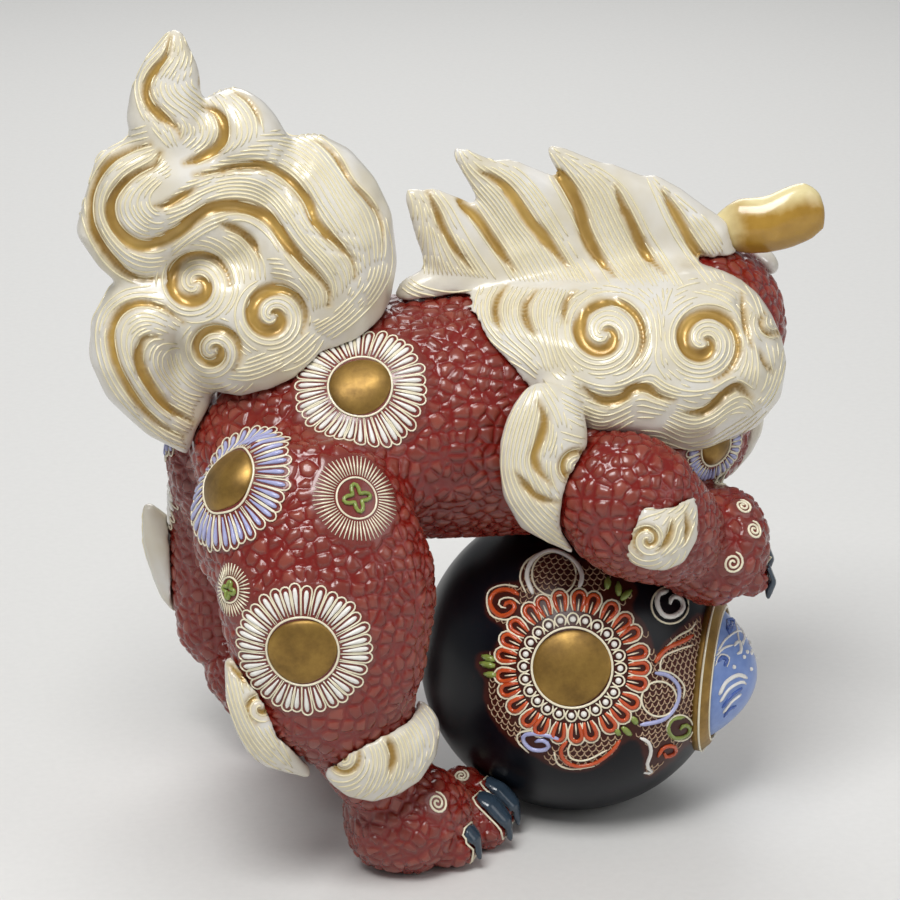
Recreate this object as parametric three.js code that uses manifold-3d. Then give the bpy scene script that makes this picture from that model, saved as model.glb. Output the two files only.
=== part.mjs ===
// A guardian lion figurine: a glazed stoneware lion that crouches over a ball with its forepaws on it,
// head turned over its left shoulder and tail raised.
// The figure is put together from moulded clay pieces, luted to each other with slip before firing.
// The torso, the head and the ball are hollow, with vents, and the locks, tufts and claws are moulded
// apart and applied.
// Millimetres. +X is the way the lion crouches, +Y is its left side and +Z is up.

import * as THREE from "three";
import { mergeVertices } from "three/addons/utils/BufferGeometryUtils.js";
import Module from "manifold-3d";

const wasm = await Module();
wasm.setup();

// Driving dimensions

const BALL_RADIUS = 61;
const BALL_FOOT_RADIUS = 23;
const BALL_BACK = 10;
const PANEL_RADIUS = 25;
const PANEL_RISE = 12;
const PANEL_RIM_WIDTH = 6;
const PANEL_RIM_HEIGHT = 5.5;
const PANEL_HEADING = -24;
const PANEL_DIP = 2;

const BODY_LENGTH = 202;
const BODY_HALF_WIDTH = 52;
const BODY_HALF_HEIGHT = 48;
const CHEST_SINK = 12;

const HEAD_TURN = 73;
const HEAD_HALF_WIDTH = 38;
const HEAD_HALF_HEIGHT = 36;
const HEAD_DEPTH = 84;
const MUZZLE_LENGTH = 44;
const MUZZLE_HALF_WIDTH = 29;
const MOUTH_GAP = 10;
const JAW_HALF_HEIGHT = 9;
const EYE_RADIUS = 8;
const NOSE_HALF_WIDTH = 12;
const FANG_LENGTH = 13;
const EAR_LENGTH = 44;
const EAR_HALF_HEIGHT = 12.5;

const MANE_OVERHANG = 2;
const MANE_HALF_HEIGHT = 38;
const FLAP_LENGTH = 68;
const FLAP_HALF_WIDTH = 17;
const CREST_HEIGHT = 54;
const CREST_HALF_THICKNESS = 10;
const BEARD_LENGTH = 40;

const TAIL_HEIGHT = 118;
const TAIL_HALF_THICKNESS = 30;
const TAIL_LOBE_DROP = 46;

const HIND_STANCE = 52;
const LEFT_STEP_BACK = 34;
const LEFT_HEEL_LIFT = 32;
const PAW_TURN = 35;
const TOES_PAST_BALL = 27;
const PAW_LENGTH = 68;
const PAW_HALF_WIDTH = 27;
const PAW_HEIGHT = 43;
const TOE_RADIUS = 11;
const THIGH_HALF_WIDTH = 45;
const SHANK_HALF_WIDTH = 22;
const ARM_RADIUS = 24;
const FOREPAW_RADIUS = 22;
const FORETOE_RADIUS = 8.5;
const CLAW_LENGTH = 18;
const CLAW_HALF_WIDTH = 6.6;
const CLAW_THICKNESS = 3.5;
const TUFT_THICKNESS = 8;
const GROOVE_DEPTH = 3;
const GROOVE_HALF_WIDTH = 2.8;
const GROOVE_STEP = 13;

const WALL = 6;
const VENT_RADIUS = 6;
const LUTE_GAP = 0.3;

// Glazes

const glaze = (color, roughness, metalness = 0) =>
  new THREE.MeshStandardMaterial({ color, roughness, metalness });
const RED_GLAZE = glaze(0x7d2a23, 0.3);
const CREAM_GLAZE = glaze(0xe6ddc6, 0.35);
const NAVY_GLAZE = glaze(0x14161f, 0.35);
const BLUE_GLAZE = glaze(0x7d95c8, 0.4);
const CLAW_GLAZE = glaze(0x2c3a4e, 0.3);
const YELLOW_GLAZE = glaze(0xd2b45a, 0.35);
const WHITE_GLAZE = glaze(0xf0ece2, 0.3);
const GILDING = glaze(0xa8863c, 0.3, 0.9);

// Forms

const ACROSS = [0, 1, 0];

// The value of a list of stations at share s of the way along it, eased from one station to the next.
function station(values, s) {
  const place = s * (values.length - 1);
  const first = Math.min(Math.floor(place), values.length - 2);
  return THREE.MathUtils.lerp(
    values[first],
    values[first + 1],
    THREE.MathUtils.smoothstep(place - first, 0, 1),
  );
}

// A sphere drawn out along a path, as a potter draws out a limb. wide is its half-size towards side and
// tall is its half-size square to that and to the path, one of each per path point. A low blunt gives
// full, round ends.
function drawn({ path, wide, tall, side = ACROSS, blunt = 0.6, around = 14, along = 12 }, grow = 0) {
  const points = path.map((p) => new THREE.Vector3(...p));
  const curve = new THREE.CatmullRomCurve3(points, false, "centripetal");
  const sideways = new THREE.Vector3(...side);
  const form = new THREE.SphereGeometry(1, around, along);
  const at = form.getAttribute("position");
  const spot = new THREE.Vector3();
  for (let i = 0; i < at.count; i += 1) {
    spot.fromBufferAttribute(at, i);
    const turn = Math.atan2(spot.z, spot.x);
    const s = (1 - THREE.MathUtils.clamp(spot.y, -1, 1)) / 2;
    const ring = Math.pow(Math.max(0, 4 * s * (1 - s)), blunt / 2);
    const tangent = curve.getTangent(s);
    const across = sideways.clone().addScaledVector(tangent, -sideways.dot(tangent)).normalize();
    const upright = tangent.clone().cross(across);
    spot
      .copy(curve.getPoint(s))
      .addScaledVector(tangent, (2 * s - 1) * grow)
      .addScaledVector(across, ring * Math.cos(turn) * (station(wide, s) + grow))
      .addScaledVector(upright, ring * Math.sin(turn) * (station(tall, s) + grow));
    at.setXYZ(i, spot.x, spot.y, spot.z);
  }
  return form;
}

const mirrored = (form) => ({ ...form, path: form.path.map(([x, y, z]) => [x, -y, z]) });

// Solids

function solidOf(geometry) {
  const bare = geometry.clone();
  bare.deleteAttribute("normal");
  bare.deleteAttribute("uv");
  const merged = mergeVertices(bare, 1e-3);
  return new wasm.Manifold(
    new wasm.Mesh({
      numProp: 3,
      vertProperties: new Float32Array(merged.getAttribute("position").array),
      triVerts: new Uint32Array(merged.index.array),
    }),
  );
}

function geometryOf(solid) {
  const { vertProperties, triVerts } = solid.getMesh();
  const geometry = new THREE.BufferGeometry();
  geometry.setAttribute("position", new THREE.BufferAttribute(vertProperties, 3));
  geometry.setIndex(new THREE.BufferAttribute(triVerts, 1));
  geometry.computeVertexNormals();
  return geometry;
}

const joined = (forms, grow) =>
  forms.map((form) => solidOf(drawn(form, grow))).reduce((whole, next) => whole.add(next));

function largestBody(solid) {
  return solid.decompose().reduce((best, next) => (next.volume() > best.volume() ? next : best));
}

const boxOf = (solid) => {
  const { min, max } = solid.boundingBox();
  return new THREE.Box3(new THREE.Vector3(...min), new THREE.Vector3(...max));
};

// A block that fills a range of space, for trimming.
function block(min, max) {
  const box = new THREE.BoxGeometry(max[0] - min[0], max[1] - min[1], max[2] - min[2]);
  return solidOf(box.translate((min[0] + max[0]) / 2, (min[1] + max[1]) / 2, (min[2] + max[2]) / 2));
}

// A round rod from one point to another, for vents.
function rod(from, to, radius) {
  const start = new THREE.Vector3(...from);
  const line = new THREE.Vector3(...to).sub(start);
  const length = line.length();
  const shape = new THREE.CylinderGeometry(radius, radius, length, 12).translate(0, length / 2, 0);
  const upright = new THREE.Vector3(0, 1, 0);
  shape.applyQuaternion(new THREE.Quaternion().setFromUnitVectors(upright, line.normalize()));
  return solidOf(shape.translate(start.x, start.y, start.z));
}

const REACH = 1000;
const belowFloor = block([-REACH, -REACH, -REACH], [REACH, REACH, 0]);
const leftHalf = block([-REACH, -LUTE_GAP / 2, -REACH], [REACH, REACH, REACH]);
const rightHalf = block([-REACH, -REACH, -REACH], [REACH, LUTE_GAP / 2, REACH]);

const figure = new THREE.Group();
const laid = [];

// Adds a piece to the figure. It gives way, by the luting gap, to every piece laid before it.
function lay(name, material, whole, grown, cuts = []) {
  const reach = boxOf(whole);
  let solid = whole;
  for (const earlier of laid) {
    if (earlier.reach.intersectsBox(reach)) solid = solid.subtract(earlier.grown);
  }
  for (const cut of cuts) solid = solid.subtract(cut);
  const mesh = new THREE.Mesh(geometryOf(largestBody(solid)), material);
  mesh.name = name;
  figure.add(mesh);
  laid.push({ grown, reach: boxOf(grown) });
}

const layForms = (name, material, forms, cuts) =>
  lay(name, material, joined(forms, 0), joined(forms, LUTE_GAP).add(joined(forms, 0)), cuts);

// Ball, a little back from under the chest, with the domed panel on its right front and the panel's rim

const ballZ = Math.sqrt(BALL_RADIUS ** 2 - BALL_FOOT_RADIUS ** 2);
const ballTop = ballZ + BALL_RADIUS;
const sphere = (radius, around, along) =>
  solidOf(new THREE.SphereGeometry(radius, around, along).rotateX(Math.PI / 2).translate(-BALL_BACK, 0, ballZ));

lay("ball", NAVY_GLAZE, sphere(BALL_RADIUS, 24, 15), sphere(BALL_RADIUS + LUTE_GAP, 24, 15), [
  belowFloor,
  sphere(BALL_RADIUS - WALL, 12, 8),
  rod([-BALL_BACK, 0, -1], [-BALL_BACK, 0, ballZ], VENT_RADIUS),
]);

const rimRadius = PANEL_RADIUS + PANEL_RIM_WIDTH;
const panelSeat = Math.sqrt(BALL_RADIUS ** 2 - rimRadius ** 2);
const panelHeading = THREE.MathUtils.degToRad(PANEL_HEADING);
const panelDip = THREE.MathUtils.degToRad(PANEL_DIP);

// A turned shape about the panel's axis, which runs out of the ball's centre. Profile points are radius
// and height.
function turned(profile) {
  const points = profile.map(([radius, height]) => new THREE.Vector2(radius, height));
  const shape = new THREE.LatheGeometry(points, 18).rotateZ(-Math.PI / 2);
  return solidOf(shape.rotateY(panelDip).rotateZ(panelHeading).translate(-BALL_BACK, 0, ballZ));
}

function panelDome(grow) {
  const base = panelSeat - WALL / 2;
  const edge = panelSeat + PANEL_RIM_HEIGHT - 1 + grow;
  const crown = BALL_RADIUS + PANEL_RISE + grow;
  const dome = [1, 0.8, 0.55, 0.28].map((share) => [
    (PANEL_RADIUS + grow) * share,
    edge + (crown - edge) * (1 - share ** 2),
  ]);
  return turned([[0, base], [PANEL_RADIUS + grow, base], ...dome, [0, crown]]);
}

function panelRing(grow) {
  const base = panelSeat - WALL;
  const inner = PANEL_RADIUS + LUTE_GAP - grow;
  const outer = rimRadius + grow;
  const top = panelSeat + PANEL_RIM_HEIGHT + grow;
  const shoulder = top - 0.6 * PANEL_RIM_HEIGHT;
  const foot = [inner, base];
  return turned([foot, [outer, base], [outer, shoulder], [inner + 1, top], [inner, top - 1], foot]);
}

lay("ball_panel", BLUE_GLAZE, panelDome(0), panelDome(LUTE_GAP));
lay("ball_panel_rim", GILDING, panelRing(0), panelRing(LUTE_GAP));

// Torso, let a little into the ball's top

const chestZ = ballTop - CHEST_SINK + BODY_HALF_HEIGHT;
const rumpX = -0.79 * BODY_LENGTH;
const hipX = 0.72 * rumpX;
const withersX = 0.34 * rumpX;
const chestX = 0.21 * BODY_LENGTH;

const torsoForm = {
  path: [
    [rumpX, 0, chestZ - 0.21 * BODY_HALF_HEIGHT],
    [hipX, 0, chestZ + 0.06 * BODY_HALF_HEIGHT],
    [withersX, 0, chestZ + 0.2 * BODY_HALF_HEIGHT],
    [0, 0, chestZ + 0.04 * BODY_HALF_HEIGHT],
    [chestX + 0.08 * BODY_LENGTH, 0, chestZ - 0.15 * BODY_HALF_HEIGHT],
  ],
  wide: [0.8, 0.98, 0.92, 0.98, 0.85].map((share) => share * BODY_HALF_WIDTH),
  tall: [0.8, 0.96, 1.04, 1, 0.85].map((share) => share * BODY_HALF_HEIGHT),
  blunt: 0.7,
  around: 18,
  along: 14,
};

// The head's own frame: out to the lion's right ear, forward to its nose, and up.
const headX = chestX - 0.02 * BODY_LENGTH;
const headY = 0.23 * BODY_HALF_WIDTH;
const headZ = chestZ + 0.71 * BODY_HALF_HEIGHT;
const headTurn = THREE.MathUtils.degToRad(HEAD_TURN);
const faceWay = [Math.cos(headTurn), Math.sin(headTurn), 0];
const earWay = [Math.sin(headTurn), -Math.cos(headTurn), 0];
const onHead = (side, forward, up) => [
  headX + side * earWay[0] + forward * faceWay[0],
  headY + side * earWay[1] + forward * faceWay[1],
  headZ + up,
];

const neckOpening = rod([0, 0, chestZ + WALL], onHead(0, 0, 0), 2 * VENT_RADIUS);
const bellyVent = rod([hipX, 0, 0], [hipX, 0, chestZ], VENT_RADIUS);
const hollow = (form) => solidOf(drawn({ ...form, around: 12, along: 10 }, -WALL));

layForms("torso", RED_GLAZE, [torsoForm], [hollow(torsoForm), neckOpening, bellyVent]);

// Head, which looks over the left shoulder, and what is on its face

const face = HEAD_DEPTH / 2;
const snout = face + MUZZLE_LENGTH / 2;
const muzzleHalfHeight = 0.5 * HEAD_HALF_HEIGHT;
const muzzleUp = -0.28 * HEAD_HALF_HEIGHT;
const mouthUp = muzzleUp - muzzleHalfHeight;
const skullForm = {
  path: [onHead(0, -face, 0), onHead(0, 0, 0), onHead(0, face, -0.11 * HEAD_HALF_HEIGHT)],
  wide: [HEAD_HALF_WIDTH, HEAD_HALF_WIDTH, HEAD_HALF_WIDTH],
  tall: [HEAD_HALF_HEIGHT, HEAD_HALF_HEIGHT, HEAD_HALF_HEIGHT],
  side: earWay,
  blunt: 0.8,
  around: 16,
  along: 12,
};
const muzzleForm = {
  path: [snout - MUZZLE_LENGTH, face, snout].map((forward) => onHead(0, forward, muzzleUp)),
  wide: [MUZZLE_HALF_WIDTH, MUZZLE_HALF_WIDTH, MUZZLE_HALF_WIDTH],
  tall: [muzzleHalfHeight, muzzleHalfHeight, muzzleHalfHeight],
  side: earWay,
  along: 8,
};
const mouthForm = {
  path: [
    onHead(0, face - MUZZLE_LENGTH / 2, mouthUp - MOUTH_GAP / 2),
    onHead(0, snout + 0.2 * MUZZLE_LENGTH, mouthUp - MOUTH_GAP / 2),
  ],
  wide: [MUZZLE_HALF_WIDTH, MUZZLE_HALF_WIDTH],
  tall: [0.7 * MOUTH_GAP, 0.7 * MOUTH_GAP],
  side: earWay,
  along: 8,
};
const mouth = solidOf(drawn(mouthForm));
layForms("head", RED_GLAZE, [skullForm, muzzleForm], [hollow(skullForm), neckOpening, mouth]);

const jawUp = mouthUp - MOUTH_GAP - JAW_HALF_HEIGHT;
layForms("lower_jaw", RED_GLAZE, [
  {
    path: [
      onHead(0, 0.14 * MUZZLE_LENGTH, jawUp + JAW_HALF_HEIGHT),
      onHead(0, face, jawUp),
      onHead(0, snout - 0.09 * MUZZLE_LENGTH, jawUp),
    ],
    wide: [0.8, 0.9, 0.8].map((share) => share * MUZZLE_HALF_WIDTH),
    tall: [1.6 * JAW_HALF_HEIGHT, JAW_HALF_HEIGHT, JAW_HALF_HEIGHT],
    side: earWay,
    blunt: 0.5,
    along: 8,
  },
]);

const noseUp = muzzleUp + 0.8 * muzzleHalfHeight;
const noseOut = snout - 0.5 * NOSE_HALF_WIDTH;
layForms("nose", GILDING, [
  {
    path: [onHead(-NOSE_HALF_WIDTH, noseOut, noseUp), onHead(NOSE_HALF_WIDTH, noseOut, noseUp)],
    wide: [0.7 * NOSE_HALF_WIDTH, 0.7 * NOSE_HALF_WIDTH],
    tall: [0.6 * NOSE_HALF_WIDTH, 0.6 * NOSE_HALF_WIDTH],
    side: faceWay,
    around: 10,
    along: 8,
  },
]);

for (const [sideName, sign] of [["right", 1], ["left", -1]]) {
  const eyeSide = sign * 0.44 * HEAD_HALF_WIDTH;
  const eyeUp = 0.22 * HEAD_HALF_HEIGHT;
  const eyeOut = face - EYE_RADIUS;
  layForms(`eye_${sideName}`, WHITE_GLAZE, [
    {
      path: [onHead(eyeSide, eyeOut, eyeUp - EYE_RADIUS), onHead(eyeSide, eyeOut, eyeUp + EYE_RADIUS)],
      wide: [EYE_RADIUS, EYE_RADIUS],
      tall: [EYE_RADIUS, EYE_RADIUS],
      blunt: 1,
      around: 12,
      along: 8,
    },
  ]);
  layForms(`brow_${sideName}`, CREAM_GLAZE, [
    {
      path: [
        onHead(sign * 0.15 * HEAD_HALF_WIDTH, eyeOut, eyeUp + EYE_RADIUS),
        onHead(eyeSide, eyeOut, eyeUp + 1.6 * EYE_RADIUS),
        onHead(sign * 0.85 * HEAD_HALF_WIDTH, eyeOut - 2 * EYE_RADIUS, eyeUp + 1.2 * EYE_RADIUS),
      ],
      wide: [0.75, 1.12, 0.88].map((share) => share * EYE_RADIUS),
      tall: [0.5, 0.88, 0.75].map((share) => share * EYE_RADIUS),
      side: faceWay,
      around: 10,
      along: 8,
    },
  ]);
  const fangSide = sign * 0.55 * MUZZLE_HALF_WIDTH;
  layForms(`fang_${sideName}`, WHITE_GLAZE, [
    {
      path: [
        onHead(fangSide, snout - 0.6 * FANG_LENGTH, mouthUp + FANG_LENGTH / 2),
        onHead(fangSide, snout - 0.55 * FANG_LENGTH, mouthUp),
        onHead(fangSide, snout - 0.7 * FANG_LENGTH, mouthUp - FANG_LENGTH / 2),
      ],
      wide: [0.27, 0.23, 0.06].map((share) => share * FANG_LENGTH),
      tall: [0.27, 0.23, 0.06].map((share) => share * FANG_LENGTH),
      around: 8,
      along: 6,
    },
  ]);

  const earRoot = 0.18 * HEAD_HALF_WIDTH;
  const earUp = 1.06 * HEAD_HALF_HEIGHT;
  const earPath = (forward) => [
    onHead(sign * earRoot, forward - 0.09 * EAR_LENGTH, earUp),
    onHead(
      sign * (earRoot + 0.45 * EAR_LENGTH),
      forward - 0.09 * EAR_LENGTH,
      earUp + 0.4 * EAR_HALF_HEIGHT,
    ),
    onHead(sign * (earRoot + EAR_LENGTH), forward, earUp + 0.72 * EAR_HALF_HEIGHT),
  ];
  const earForm = {
    path: earPath(0),
    wide: [0.56, 0.64, 0.56].map((share) => share * EAR_HALF_HEIGHT),
    tall: [0.85, 1, 1.15].map((share) => share * EAR_HALF_HEIGHT),
    side: faceWay,
    blunt: 0.7,
    around: 12,
    along: 8,
  };
  const earDish = {
    ...earForm,
    path: earPath(0.48 * EAR_HALF_HEIGHT),
    wide: [0.4, 0.4, 0.32].map((share) => share * EAR_HALF_HEIGHT),
    tall: earForm.tall.map((half) => half - 0.28 * EAR_HALF_HEIGHT),
  };
  layForms(`ear_${sideName}`, YELLOW_GLAZE, [earForm], [solidOf(drawn(earDish))]);
}

// Grooves between the locks of the hair. Each is cut with a wedge along a line of the side view, given as
// X and Z, and runs out to nothing at its ends.

function onSide(mesh, [x, z], sign) {
  const ray = new THREE.Raycaster(new THREE.Vector3(x, sign * REACH, z), new THREE.Vector3(0, -sign, 0));
  return ray.intersectObject(mesh)[0];
}

function wedgeAt(spot, along, size) {
  const out = spot.face.normal;
  const across = along.clone().cross(out).normalize();
  const corner = (side, lift) =>
    spot.point
      .clone()
      .addScaledVector(across, side * size * GROOVE_HALF_WIDTH)
      .addScaledVector(out, lift * size * GROOVE_DEPTH)
      .toArray();
  return [corner(0, -1), corner(-2, 1), corner(2, 1)];
}

function groovesOn(solid, lines, sign) {
  const mesh = new THREE.Mesh(geometryOf(solid));
  const wedges = [];
  for (const line of lines) {
    const curve = new THREE.CatmullRomCurve3(line.map(([x, z]) => new THREE.Vector3(x, 0, z)));
    const steps = Math.max(line.length, Math.round(curve.getLength() / GROOVE_STEP));
    const spots = curve.getSpacedPoints(steps).map((point) => onSide(mesh, [point.x, point.z], sign));
    const found = spots.filter(Boolean);
    let earlier = null;
    found.forEach((spot, i) => {
      const before = found[Math.max(i - 1, 0)].point;
      const after = found[Math.min(i + 1, found.length - 1)].point;
      const size = i === 0 || i === found.length - 1 ? 0.3 : 1;
      const corners = wedgeAt(spot, after.clone().sub(before), size);
      if (earlier && spot.point.distanceTo(before) < 1.7 * GROOVE_STEP) {
        wedges.push(wasm.Manifold.hull([...earlier, ...corners]));
      }
      earlier = corners;
    });
  }
  return wasm.Manifold.union(wedges);
}

// A curl winds out from its eye to a given angle.
const curl = ([x, z], radius, turns, end) =>
  [0, 1, 2, 3, 4, 5, 6, 7, 8, 9, 10].map((step) => {
    const share = step / 10;
    const angle = end + 2 * Math.PI * turns * (1 - share);
    const away = radius * (0.1 + 0.9 * share);
    return [x + away * Math.cos(angle), z + away * Math.sin(angle)];
  });

// Mane: a collar in two halves, a flap over each shoulder, and the crest of locks along the nape

const maneForm = {
  path: [
    [withersX - 0.25 * MANE_HALF_HEIGHT, -0.05 * MANE_HALF_HEIGHT, chestZ + 1.32 * MANE_HALF_HEIGHT],
    [withersX + 1.05 * MANE_HALF_HEIGHT, -0.11 * MANE_HALF_HEIGHT, chestZ + 0.89 * MANE_HALF_HEIGHT],
    [headX - 0.16 * HEAD_HALF_WIDTH, -0.16 * MANE_HALF_HEIGHT, chestZ + 0.82 * MANE_HALF_HEIGHT],
    [headX + 0.6 * HEAD_HALF_WIDTH, 0, chestZ + 1.04 * MANE_HALF_HEIGHT],
  ],
  wide: [0.75, 1, 0.96, 0.85].map((share) => share * (BODY_HALF_WIDTH + MANE_OVERHANG)),
  tall: [0.6, 0.95, 1.07, 1.02].map((share) => share * MANE_HALF_HEIGHT),
  around: 16,
  along: 12,
};
const openingUp = -0.17 * HEAD_HALF_HEIGHT;
const openingPath = [0, face, 2 * face].map((forward) => onHead(0, forward, openingUp));
const faceOpening = solidOf(drawn({ ...skullForm, path: openingPath }, WALL / 2));
const maneWhole = joined([maneForm], 0);
const maneGrown = joined([maneForm], LUTE_GAP);

// Places on the mane are shares of the way from the withers to the head, and of the mane's half-height.
const onMane = ([along, up]) => [withersX + along * (headX - withersX), chestZ + up * MANE_HALF_HEIGHT];
const maneGrooves = [
  [[0.27, 0.94], [0.4, 0.81], [0.5, 0.78], [0.57, 0.9], [0.72, 0.72]],
  [[0.77, 0.59], [0.85, 0.57], [0.94, 0.75], [1, 0.81], [1.07, 0.65]],
  [[0.16, 1.6], [0.12, 1.54], [0.1, 1.45]],
  [[0.25, 1.65], [0.19, 1.58], [0.18, 1.48]],
  [[0.39, 1.66], [0.34, 1.61], [0.32, 1.53], [0.32, 1.44]],
  [[1.07, 1.59], [1.06, 1.46], [1.05, 1.34], [1.08, 1.15]],
].map((line) => line.map(onMane));
const maneCurls = [
  curl(onMane([0.46, 1.39]), 0.4 * MANE_HALF_HEIGHT, 1.35, -0.9),
  curl(onMane([0.86, 1.28]), 0.38 * MANE_HALF_HEIGHT, 1.35, -1.29),
];
const maneLines = [...maneGrooves, ...maneCurls];
lay("mane_right", CREAM_GLAZE, maneWhole.subtract(leftHalf), maneGrown.subtract(leftHalf), [
  groovesOn(maneWhole, maneLines, -1),
]);
lay("mane_left", CREAM_GLAZE, maneWhole.subtract(rightHalf), maneGrown.subtract(rightHalf), [
  faceOpening,
  groovesOn(maneWhole, maneLines, 1),
]);

const flapTop = chestZ + 0.77 * BODY_HALF_HEIGHT;
const flapForm = {
  path: [
    [withersX + 1.29 * FLAP_HALF_WIDTH, -1.0 * BODY_HALF_WIDTH, flapTop],
    [withersX + 1.06 * FLAP_HALF_WIDTH, -1.1 * BODY_HALF_WIDTH, flapTop - 0.3 * FLAP_LENGTH],
    [withersX + 0.94 * FLAP_HALF_WIDTH, -1.13 * BODY_HALF_WIDTH, flapTop - 0.62 * FLAP_LENGTH],
    [withersX + 1.88 * FLAP_HALF_WIDTH, -1.06 * BODY_HALF_WIDTH, flapTop - FLAP_LENGTH],
  ],
  wide: [TUFT_THICKNESS, TUFT_THICKNESS, TUFT_THICKNESS, 0.6 * TUFT_THICKNESS],
  tall: [0.95, 1.05, 0.85, 0.3].map((share) => share * FLAP_HALF_WIDTH),
};

// Each lock of the crest leans back. Where it starts, where it points and how high it goes are shares of
// the crest's height, the first two along X from the withers.
const CREST_LOCKS = [
  [0.26, -0.43, 0.72],
  [0.3, -0.28, 0.71],
  [1.07, -0.11, 1],
  [1.2, 0.24, 0.9],
  [1.74, 0.56, 0.98],
  [1.8, 0.94, 0.83],
  [1.74, 1.31, 0.72],
  [1.8, 1.54, 0.52],
];
const crestZ = chestZ + 1.27 * BODY_HALF_HEIGHT;
const crestLocks = CREST_LOCKS.map(([root, tip, share]) => ({
  path: [
    [withersX + root * CREST_HEIGHT, 0, crestZ - 0.15 * CREST_HEIGHT],
    [withersX + (0.52 * root + 0.48 * tip) * CREST_HEIGHT, 0, crestZ + 0.42 * share * CREST_HEIGHT],
    [withersX + tip * CREST_HEIGHT, 0, crestZ + share * CREST_HEIGHT],
  ],
  wide: [CREST_HALF_THICKNESS, 0.8 * CREST_HALF_THICKNESS, 0.35 * CREST_HALF_THICKNESS],
  tall: [0.28, 0.28, 0.08].map((half) => half * CREST_HEIGHT),
  blunt: 0.5,
  around: 9,
  along: 6,
}));
const crestRidge = {
  path: [
    [withersX - 0.52 * CREST_HEIGHT, 0, crestZ - 0.07 * CREST_HEIGHT],
    [withersX + 0.63 * CREST_HEIGHT, 0, crestZ + 0.11 * CREST_HEIGHT],
    [withersX + 1.81 * CREST_HEIGHT, 0, crestZ - 0.11 * CREST_HEIGHT],
  ],
  wide: [0.9, 1.1, 1].map((share) => share * CREST_HALF_THICKNESS),
  tall: [0.17, 0.33, 0.2].map((half) => half * CREST_HEIGHT),
  around: 10,
  along: 8,
};

// Tail: a plume of flame-like lobes, with a lower lobe that curls down behind the rump and a thinner fold
// within its curl

const tailX = hipX - 0.05 * TAIL_HEIGHT;
const tailZ = chestZ + 0.9 * BODY_HALF_HEIGHT;

// Places and breadths are shares of the tail's height.
const lobe = (path, breadth, thickness, options = {}) => ({
  path: path.map(([x, height]) => [tailX + x * TAIL_HEIGHT, 0, tailZ + height * TAIL_HEIGHT]),
  wide: thickness.map((share) => share * TAIL_HALF_THICKNESS),
  tall: breadth.map((share) => share * TAIL_HEIGHT),
  ...options,
});
const plumeLobes = [
  lobe([[0.12, -0.1], [0.08, 0.3], [-0.01, 0.46], [-0.14, 0.55]], [0.24, 0.275, 0.265, 0.17], [
    1, 1, 0.85, 0.5,
  ]),
  lobe([[-0.04, 0.48], [-0.16, 0.68], [-0.22, 0.82]], [0.15, 0.135, 0.11], [0.7, 0.6, 0.4], { along: 8 }),
  lobe([[-0.29, 0.5], [-0.39, 0.73], [-0.37, 0.88], [-0.345, 1.03]], [0.135, 0.125, 0.105, 0.05], [
    0.6, 0.45, 0.32, 0.2,
  ]),
  lobe([[-0.05, 0.3], [-0.32, 0.49], [-0.49, 0.47], [-0.42, 0.2]], [0.2, 0.21, 0.215, 0.18], [
    0.8, 0.7, 0.6, 0.5,
  ]),
  lobe([[0.03, -0.14], [-0.15, 0.08], [-0.34, 0.27]], [0.24, 0.245, 0.23], [1.05, 1, 0.9], { along: 8 }),
];
const lobeDrop = -TAIL_LOBE_DROP / TAIL_HEIGHT;
const lowerLobe = lobe(
  [[-0.22, 0.12], [-0.46, 0.13], [-0.52, -0.02], [-0.44, -0.19], [-0.3, lobeDrop]],
  [0.135, 0.145, 0.135, 0.11, 0.042],
  [0.7, 0.7, 0.65, 0.5, 0.3],
  { along: 14 },
);
const lobeFold = lobe(
  [[-0.28, 0.08], [-0.36, -0.06], [-0.35, -0.2], [-0.28, lobeDrop + 0.04]],
  [0.09, 0.11, 0.11, 0.05],
  [0.4, 0.35, 0.3, 0.25],
  { around: 8, along: 6 },
);

// Places along the tail's grooves are shares of its height too.
const onTail = ([x, height]) => [tailX + x * TAIL_HEIGHT, tailZ + height * TAIL_HEIGHT];
const plumeGrooves = [
  [[-0.4, 0.95], [-0.44, 0.88], [-0.44, 0.83], [-0.41, 0.78], [-0.35, 0.71]],
  [[-0.27, 0.78], [-0.22, 0.74], [-0.25, 0.66], [-0.35, 0.63]],
  [[-0.32, 0.6], [-0.18, 0.62], [-0.05, 0.58], [0.03, 0.5], [0.08, 0.41], [0.17, 0.26]],
  [[-0.45, 0.69], [-0.57, 0.64], [-0.63, 0.51], [-0.61, 0.38], [-0.53, 0.27], [-0.42, 0.25]],
  [[-0.42, 0.66], [-0.55, 0.57], [-0.58, 0.46], [-0.5, 0.37], [-0.38, 0.42], [-0.27, 0.49]],
  [[-0.27, 0.49], [-0.14, 0.47], [-0.05, 0.39], [0.05, 0.27], [0.08, 0.18]],
  [[0.07, 0.66], [0.15, 0.59], [0.22, 0.5], [0.27, 0.39], [0.26, 0.33]],
  [[-0.25, 0.45], [-0.2, 0.42], [-0.15, 0.38], [-0.13, 0.31]],
].map((line) => line.map(onTail));
const plumeCurls = [
  curl(onTail([-0.33, 0.24]), 0.112 * TAIL_HEIGHT, 1.3, 0),
  curl(onTail([-0.1, 0.15]), 0.11 * TAIL_HEIGHT, 1.35, -0.5),
  curl(onTail([-0.28, 0.04]), 0.092 * TAIL_HEIGHT, 1.4, -0.75),
];
const lobeGrooves = [
  [[-0.42, 0.14], [-0.5, 0.19], [-0.59, 0.12], [-0.58, 0], [-0.5, -0.16], [-0.37, -0.28]],
  [[-0.45, 0.09], [-0.51, 0.04], [-0.47, -0.09], [-0.36, -0.22]],
].map((line) => line.map(onTail));
const bothSides = (solid, lines) => [groovesOn(solid, lines, -1), groovesOn(solid, lines, 1)];

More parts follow.
